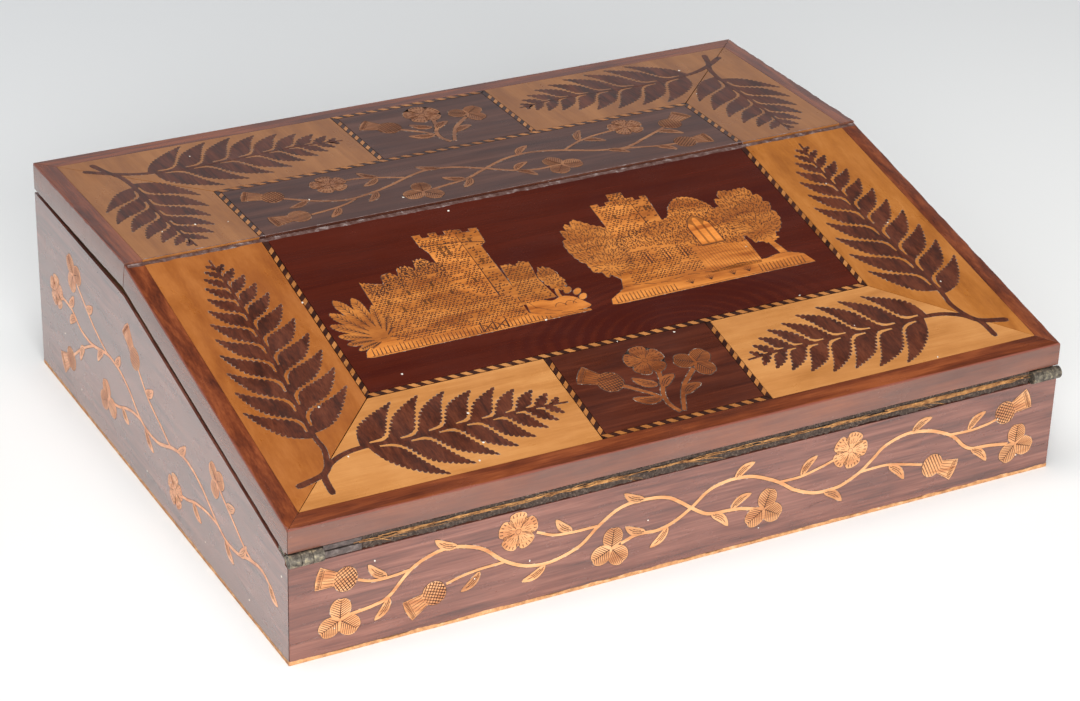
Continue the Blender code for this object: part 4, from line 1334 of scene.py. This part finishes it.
def lay_lippings(materials):
    """Solid bars along the slope lid's front and both lids' sides, in place of the frame's sharp ones:
    their outer arrises are worn round. The front corners are mitred, and the front bar keeps its rebate for
    the hinges."""
    t = np.linspace(0, 1, STATIONS)[:, None]
    over_rebate, in_rebate, deep = 10.98, 11.6, LID_THICKNESS / math.cos(SLOPE)
    inner_y = FRONT_Y + LIPPING * math.cos(SLOPE)
    front = worn_section(
        [(FRONT_Y, FRONT_HEIGHT), (inner_y, slope_height(inner_y)), (inner_y, slope_height(inner_y) - deep),
         (REBATE_Y, LIP_UNDERSIDE), (REBATE_Y, REBATE_TOP), (FRONT_Y, REBATE_TOP)],
        {0: SOFT_TOP, 5: SOFT_FOOT}, STATIONS, 31)
    reach = SIDE_X - FRONT_BAR_SHORT - np.maximum(front[..., 0] - FRONT_Y, 0) / math.cos(SLOPE)
    rings = np.stack([reach * (2 * t - 1), front[..., 0], front[..., 1]], axis=-1)
    add_piece("front_lipping", [(*tube(rings), 0.0)], materials["lipping_x"], "slope_lid", "red_yew",
              ["slope_lipping_front"], 40)
    for sign, word in ((-1, "left"), (1, "right")):
        side = worn_section(
            [(0, 0), (0, over_rebate), (0, in_rebate), (0, deep), (LIPPING, deep), (LIPPING, 0)],
            {0: SOFT_TOP, 3: SOFT_FOOT}, STATIONS, 32 + sign)
        inset, drop = side[..., 0], side[..., 1]
        mitre = FRONT_Y + SIDE_BAR_SHORT + inset * math.cos(SLOPE)
        begin = np.where(drop > (over_rebate + in_rebate) / 2, REBATE_Y, mitre)
        finish = RIDGE_Y + SLOPE_END_LEAN * drop / deep
        y = begin + (finish - begin) * t
        rings = np.stack([sign * (SIDE_X - inset), y, slope_height(y) - drop], axis=-1)
        add_piece(f"slope_{word}_edge", [(*tube(rings), 0.0)], materials["lipping_y"], "slope_lid", "red_yew",
                  [f"slope_lipping_{word}"], 40)
        level = worn_section(
            [(0, TOP_Z), (0, LEVEL_UNDERSIDE), (LIPPING, LEVEL_UNDERSIDE), (LIPPING, TOP_Z)],
            {0: SOFT_TOP, 1: SOFT_FOOT}, STATIONS, 34 + sign)
        inset, z = level[..., 0], level[..., 1]
        begin = LEVEL_FRONT_Y + (TOP_Z - z) * LEVEL_END_LEAN
        finish = BACK_Y - SIDE_BAR_SHORT - inset
        rings = np.stack([sign * (SIDE_X - inset), begin + (finish - begin) * t, z], axis=-1)
        add_piece(f"top_{word}_edge", [(*tube(rings), 0.0)], materials["lipping_y"], "top_lid", "red_yew",
                  [f"top_lipping_{word}"], 40)


def torn_strip(ends, low, high, front, rough, seed):
    """A strip in the front joint between `ends`, its face lumpy and its edges frayed by `rough`."""
    random = np.random.default_rng(seed)
    stations = int((ends[1] - ends[0]) * 1.2)
    back = SEAM_BACK_Y
    corner = [(back, low), (front, low), (front - 0.25, (low + high) / 2), (front, high), (back, high)]
    ring = np.broadcast_to(np.array(corner), (stations, 5, 2)).copy()
    ring[:, 1:4] += random.normal(0, 0.5 * rough, (stations, 3, 2))
    for i, side in ((1, -1), (3, 1)):
        ring[:, i, 1] += side * rough * wander(stations, stations // 5, random)
    x = np.linspace(*ends, stations)[:, None] * np.ones(5)
    return tube(np.concatenate([x[..., None], ring], axis=-1))


def fibres(count, reach, seed, hang=0.0):
    """Frayed threads of leather: each a slim three-sided tube that strays along the torn seam between
    `reach` = (from x, to x), and drops by up to `hang` at its end. They are drawn thicker than in life."""
    random = np.random.default_rng(seed)
    steps = 9
    t = np.linspace(0, 1, steps)
    for _ in range(count):
        length = random.uniform(7, 24)
        x = random.uniform(*reach) + length * (t - 0.5) + 0.5 * wander(steps, 5, random)
        z = random.uniform(50.0, 51.5) + random.uniform(0.2, 0.6) * wander(steps, 5, random)
        z -= hang * random.uniform(0.3, 1.0) * t**2.5
        y = TEAR_Y - random.uniform(0, 0.4) + 0.2 * wander(steps, 5, random) - 0.5 * hang * t**2 * 0.3
        radius = random.uniform(0.10, 0.2) * (1 - 0.6 * t)[:, None]
        angle = np.radians([90, 210, 330])
        ring = np.stack([np.broadcast_to(x[:, None], (steps, 3)), y[:, None] + radius * np.cos(angle),
                         z[:, None] + radius * np.sin(angle)], axis=-1)
        shell, groups = tube(ring)
        yield shell, groups, random.uniform(-1, 1)


def lay_leather(materials):
    """Leather in the gap over the front, torn off near the left hinge, where bare greyed wood shows."""
    strips = (
        ("lower", 47.1, 50.2, "base"),
        ("upper", 50.9, 52.8, "slope_lid"),
    )
    for seed, (word, low, high, body) in enumerate(strips):
        shell = torn_strip((-157, 174.1), low, high, front=-145.6 + 0.3 * seed, rough=0.33, seed=seed)
        add_piece(f"torn_leather_{word}", [(*shell, 0.0)], materials["leather"], body, "torn_leather",
                  [f"leather_strip_{word}"])
        bare_high = high - 0.25 + 0.35 * seed
        bare = torn_strip((-174.4, -157.4), low - 0.1, bare_high, front=-145.85, rough=0.05, seed=seed)
        add_piece(f"bare_seam_{word}", [(*bare, 0.0)], materials["bare"], body, "dark_yew")
    threads = [*fibres(26, (-150, -100), 41), *fibres(38, (-100, -36), 42), *fibres(44, (-30, 90), 43),
               *fibres(130, (104, 168), 44)]
    for spot, hang in ((-152, 5), (-149, 4), (-39, 5), (-4, 3.5), (4, 4), (113, 3.5), (116, 5)):
        threads += fibres(2, (spot - 1, spot + 1), 200 + spot, hang)
    add_piece("leather_fibres", threads, materials["fibre"], "base", "torn_leather", (), 60)


def wavy_strip(start, end, low, high, waves, depth, seed):
    """The outline of a strip from start to end along u, whose upper edge is chipped by `depth`."""
    random = np.random.default_rng(seed)
    count = int((end - start) / 1.6)
    u = np.linspace(start, end, count)
    top = high + depth * wander(count, waves, random) + depth * 0.4 * random.uniform(-1, 1, count)
    return np.concatenate([[(end, low), (start, low)], np.column_stack([u, top])])


def lay_wear(materials):
    """Raw wood at the foot, specks of filler, the rubbed edges of the ridge, and cracks."""
    for name, face, half in (
        ("front", FRONT_FACE, 189.9), ("back", BACK_FACE, 189.9), ("left", LEFT_FACE, 145.9),
        ("right", RIGHT_FACE, 145.9),
    ):
        outline = wavy_strip(-half, half, 0.1, 1.7, 60, 0.4, len(name))
        shell, groups = slab(outline, -1.4, 0.04)
        add_piece(name + "_foot", [(face.lay(shell), groups, 0.0)], materials["raw"], "base", "carcass_pine")
    random = np.random.default_rng(51)
    for face, body, name, count, spread in (
        (SLOPE_FACE, "slope_lid", "slope", 20, ((-182, 4), (182, 174))),
        (LEVEL_FACE, "top_lid", "top", 8, ((-182, 34), (182, 140))),
        (FRONT_FACE, "base", "front", 8, ((-185, 6), (185, 44))),
        (LEFT_FACE, "base", "left", 8, ((-140, 6), (120, 44))),
    ):
        dots = []
        for spot in random.uniform(*spread, (count, 2)):
            size = random.uniform(0.25, 0.6)
            blob = round_outline(spot, (size, size * random.uniform(0.6, 1.0)), random.uniform(0, 180), 9)
            shell, groups = slab(blob, -0.2, 0.13)
            dots.append((face.lay(shell), groups, random.uniform(-1, 1)))
        add_piece(name + "_specks", dots, materials["filler"], body, "dark_yew")
    level_edge = wavy_strip(-181, 181, LEVEL_FRONT_Y + 0.2, LEVEL_FRONT_Y + 0.6, 70, 0.12, 52)
    slope_edge = wavy_strip(-189, 189, 0.1, 2.3, 70, 0.3, 53) * (1, -1) + (0, SLOPE_LENGTH)
    for name, edge, low, face, tone, body in (
        ("rubbed_ridge", level_edge, -0.9, LEVEL_FACE, 1.0, "top_lid"),
        ("worn_ridge", slope_edge, -0.5, SLOPE_FACE, -1.0, "slope_lid"),
    ):
        shell, groups = slab(edge, low, 0.05)
        add_piece(name, [(face.lay(shell), groups, tone)], materials["rubbed"], body, "red_yew")
    lines = []
    for points in (
        [(-189.6, 9.9), (-185, 9.9), (-178, 10.4), (-172, 10.3)],
        [(-164, 10.4), (-158, 10.6), (-149, 10.5), (-140, 9.9)],
        [(-186, 32.4), (-182, 33.2), (-178, 33.6)],
        [(178, 12.8), (185, 12.5), (189, 12.9)],
        [(56, 11.2), (62, 12.2), (68, 13.0)],
    ):
        line = through(points, 60)
        line[:, 1] += random.normal(0, 0.16, 60)
        shell, groups = strokes(line[:-1], line[1:], random.uniform(0.03, 0.24, 59), 0.0, 0.1)
        lines.append((FRONT_FACE.lay(shell), groups, 0.0))
    add_piece("front_cracks", lines, materials["rubbed"], "base", "dark_yew")


# The finish of the parts that the frame already shapes


def dress_frame(materials):
    """Gives each part the finish of the first word here that its name holds, or else bare pine."""
    finishes = {
        "front_veneer": "faded_x", "back_veneer": "faded_x", "_veneer": "faded_y",
        "slope_centre_panel": "figured", "slope_sprig_panel": "dark", "top_vine_panel": "level_dark",
        "top_sprig_panel": "level_dark", "slope_board": "stained", "top_board": "stained",
        "slope_fern_front": "pale_light", "slope_fern_left": "amber_light", "slope_fern": "light",
        "top_fern": "level_light", "top_lipping_back": "lipping_x", "hinge": "brass", "string": "string_dark",
        "_side": "pine_along",
    }
    for name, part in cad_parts.items():
        key = next((finish for word, finish in finishes.items() if word in name), "pine")
        part.data.materials.clear()
        part.data.materials.append(materials[key])


def make_materials():
    """Every finish, by the short name that the rest of the script calls it."""
    return {
        "faded_x": faded_yew("faded_yew_across", 0),
        "faded_y": faded_yew("faded_yew_along", 1),
        "figured": figured_yew(),
        "dark": dark_yew("dark_yew", 0),
        "level_dark": dark_yew("brown_yew", 0, ("3a1a10", "4c281b", "60392a")),
        "lipping_x": red_yew("red_yew_across", 0),
        "lipping_y": red_yew("red_yew_along", 1),
        "pale_light": arbutus("pale_arbutus", 0, ("aa6e36", "bb7d43", "c98c50")),
        "amber_light": arbutus("amber_arbutus", 1, ("8a4b1d", "9b5924", "aa6730")),
        "light": arbutus("orange_arbutus", 1),
        "level_light": arbutus("brown_arbutus", 1, ("865229", "965f30", "a56c3a")),
        "motif": motif_wood("bright_arbutus", ("ac6c40", "ca8e5c", "dca474")),
        "side_motif": motif_wood("rosy_arbutus", ("c0764a", "dc9668", "ecae80")),
        "top_motif": motif_wood("aged_arbutus", ("6e4020", "8c5630", "a06a40")),
        "sprig": motif_wood("stained_arbutus", ("663214", "824620", "98582a")),
        "picture": picture_wood(),
        "string_light": arbutus("arbutus_stringing", 0, ("8c5424", "a86c38", "bc8048")),
        "fern": fern_wood(),
        "seam": glue_line("glue_line", ((0.42, "2e1c15"), (0.56, "5c463a"), (0.68, "a89a8c"))),
        "fern_seam": glue_line("crumbled_glue", ((0.4, "2a1a12"), (0.52, "5c4a3e"), (0.64, "958a7e"))),
        "cuts": engraving(),
        "string_dark": dark_yew("string_yew", 0, ("240f08", "36190f", "482418")),
        "pine": plain_pine("pine_across", 0),
        "pine_along": plain_pine("pine_along", 1),
        "stained": stained_shaded_pine(),
        "brass": old_brass(),
        "leather": torn_leather(),
        "bare": bare_seam(),
        "fibre": leather_fibre(),
        "raw": raw_foot(),
        "filler": white_filler(),
        "rubbed": rubbed_edge(),
    }


# The studio


def add_area_light(name, place, size, power):
    """A white soft box of that (width, height), whose face looks from `place` to the box, in metres."""
    light = bpy.data.lights.new(name, "AREA")
    light.shape = "RECTANGLE"
    light.size, light.size_y = size
    light.energy = power
    obj = bpy.data.objects.new(name, light)
    back = np.array(place) / np.linalg.norm(place)
    right = np.cross((0, 0, 1), back)
    right /= np.linalg.norm(right)
    up = np.cross(back, right)
    turn = Matrix(np.column_stack([right, up, back]).tolist()).to_4x4()
    obj.matrix_world = Matrix.Translation(place) @ turn
    bpy.context.scene.collection.objects.link(obj)


def studio():
    """A pale floor, painted greyer and bluer towards the back as painted shade, a large soft box in front, a
    dim one overhead, and a sky that darkens upwards.
    """
    mesh = bpy.data.meshes.new("floor")
    reach = 6.0
    rim = [(x * reach, y * reach, 0) for x, y in ((-1, -1), (1, -1), (1, 1), (-1, 1))]
    mesh.from_pydata(rim, [], [(0, 1, 2, 3)])
    floor = bpy.data.objects.new("floor", mesh)
    bpy.context.scene.collection.objects.link(floor)
    paper, tree, shader = new_material("white_paper")
    place = node(tree, "TexCoord").outputs["Object"]
    depth = node(tree, "SeparateXYZ", {0: place}).outputs[1]
    # Painted shade: the floor runs from near white at the box to blue-grey 1.6 metres behind it.
    colour = mixed(tree, ranged(tree, depth, 0.0, 1.0, 0.0, 1.6), srgb("f4f4f2"), srgb("dfe3e8"))
    feed(tree, shader, {"Base Color": colour, "Roughness": 0.9, "Specular IOR Level": 0.0})
    floor.data.materials.append(paper)

    world = bpy.data.worlds.new("studio")
    world.use_nodes = True
    tree = world.node_tree
    height = node(tree, "SeparateXYZ", {0: node(tree, "TexCoord").outputs["Generated"]}).outputs[2]
    bounds = {0: height, 1: 0.50, 2: 0.68, 3: 0.5, 4: 0.05}
    glow = node(tree, "MapRange", bounds, interpolation_type="SMOOTHSTEP").outputs[0]
    feed(tree, tree.nodes["Background"], {"Color": srgb("eceff4"), "Strength": glow})
    bpy.context.scene.world = world

    add_area_light("front_soft_box", (-0.85, -2.2, 0.85), size=(1.8, 1.1), power=78)
    add_area_light("overhead_soft_box", (-0.3, -0.2, 2.0), size=(1.6, 1.2), power=26)
    bpy.context.scene.view_settings.view_transform = "Standard"


def camera():
    """The photograph's viewpoint: place, and the directions right, down and forward, worked out from the
    box's corners. The lens is for the photograph's own frame."""
    data = bpy.data.cameras.new("camera")
    data.sensor_width = 36.0
    data.sensor_fit = "HORIZONTAL"
    data.lens = 98.765
    obj = bpy.data.objects.new("camera", data)
    place = (-0.59004, -1.07384, 0.67416)
    right = np.array((0.8819599, -0.4705562, 0.0268986))
    down = np.array((-0.1971893, -0.4202222, -0.8857368))
    forward = np.array((0.4280924, 0.7758802, -0.4634078))
    turn = Matrix(np.column_stack([right, -down, -forward]).tolist()).to_4x4()
    obj.matrix_world = Matrix.Translation(place) @ turn
    bpy.context.scene.collection.objects.link(obj)
    bpy.context.scene.camera = obj


materials = make_materials()
dress_frame(materials)
lay_all(materials)
lay_lippings(materials)
lay_leather(materials)
lay_wear(materials)
studio()
camera()
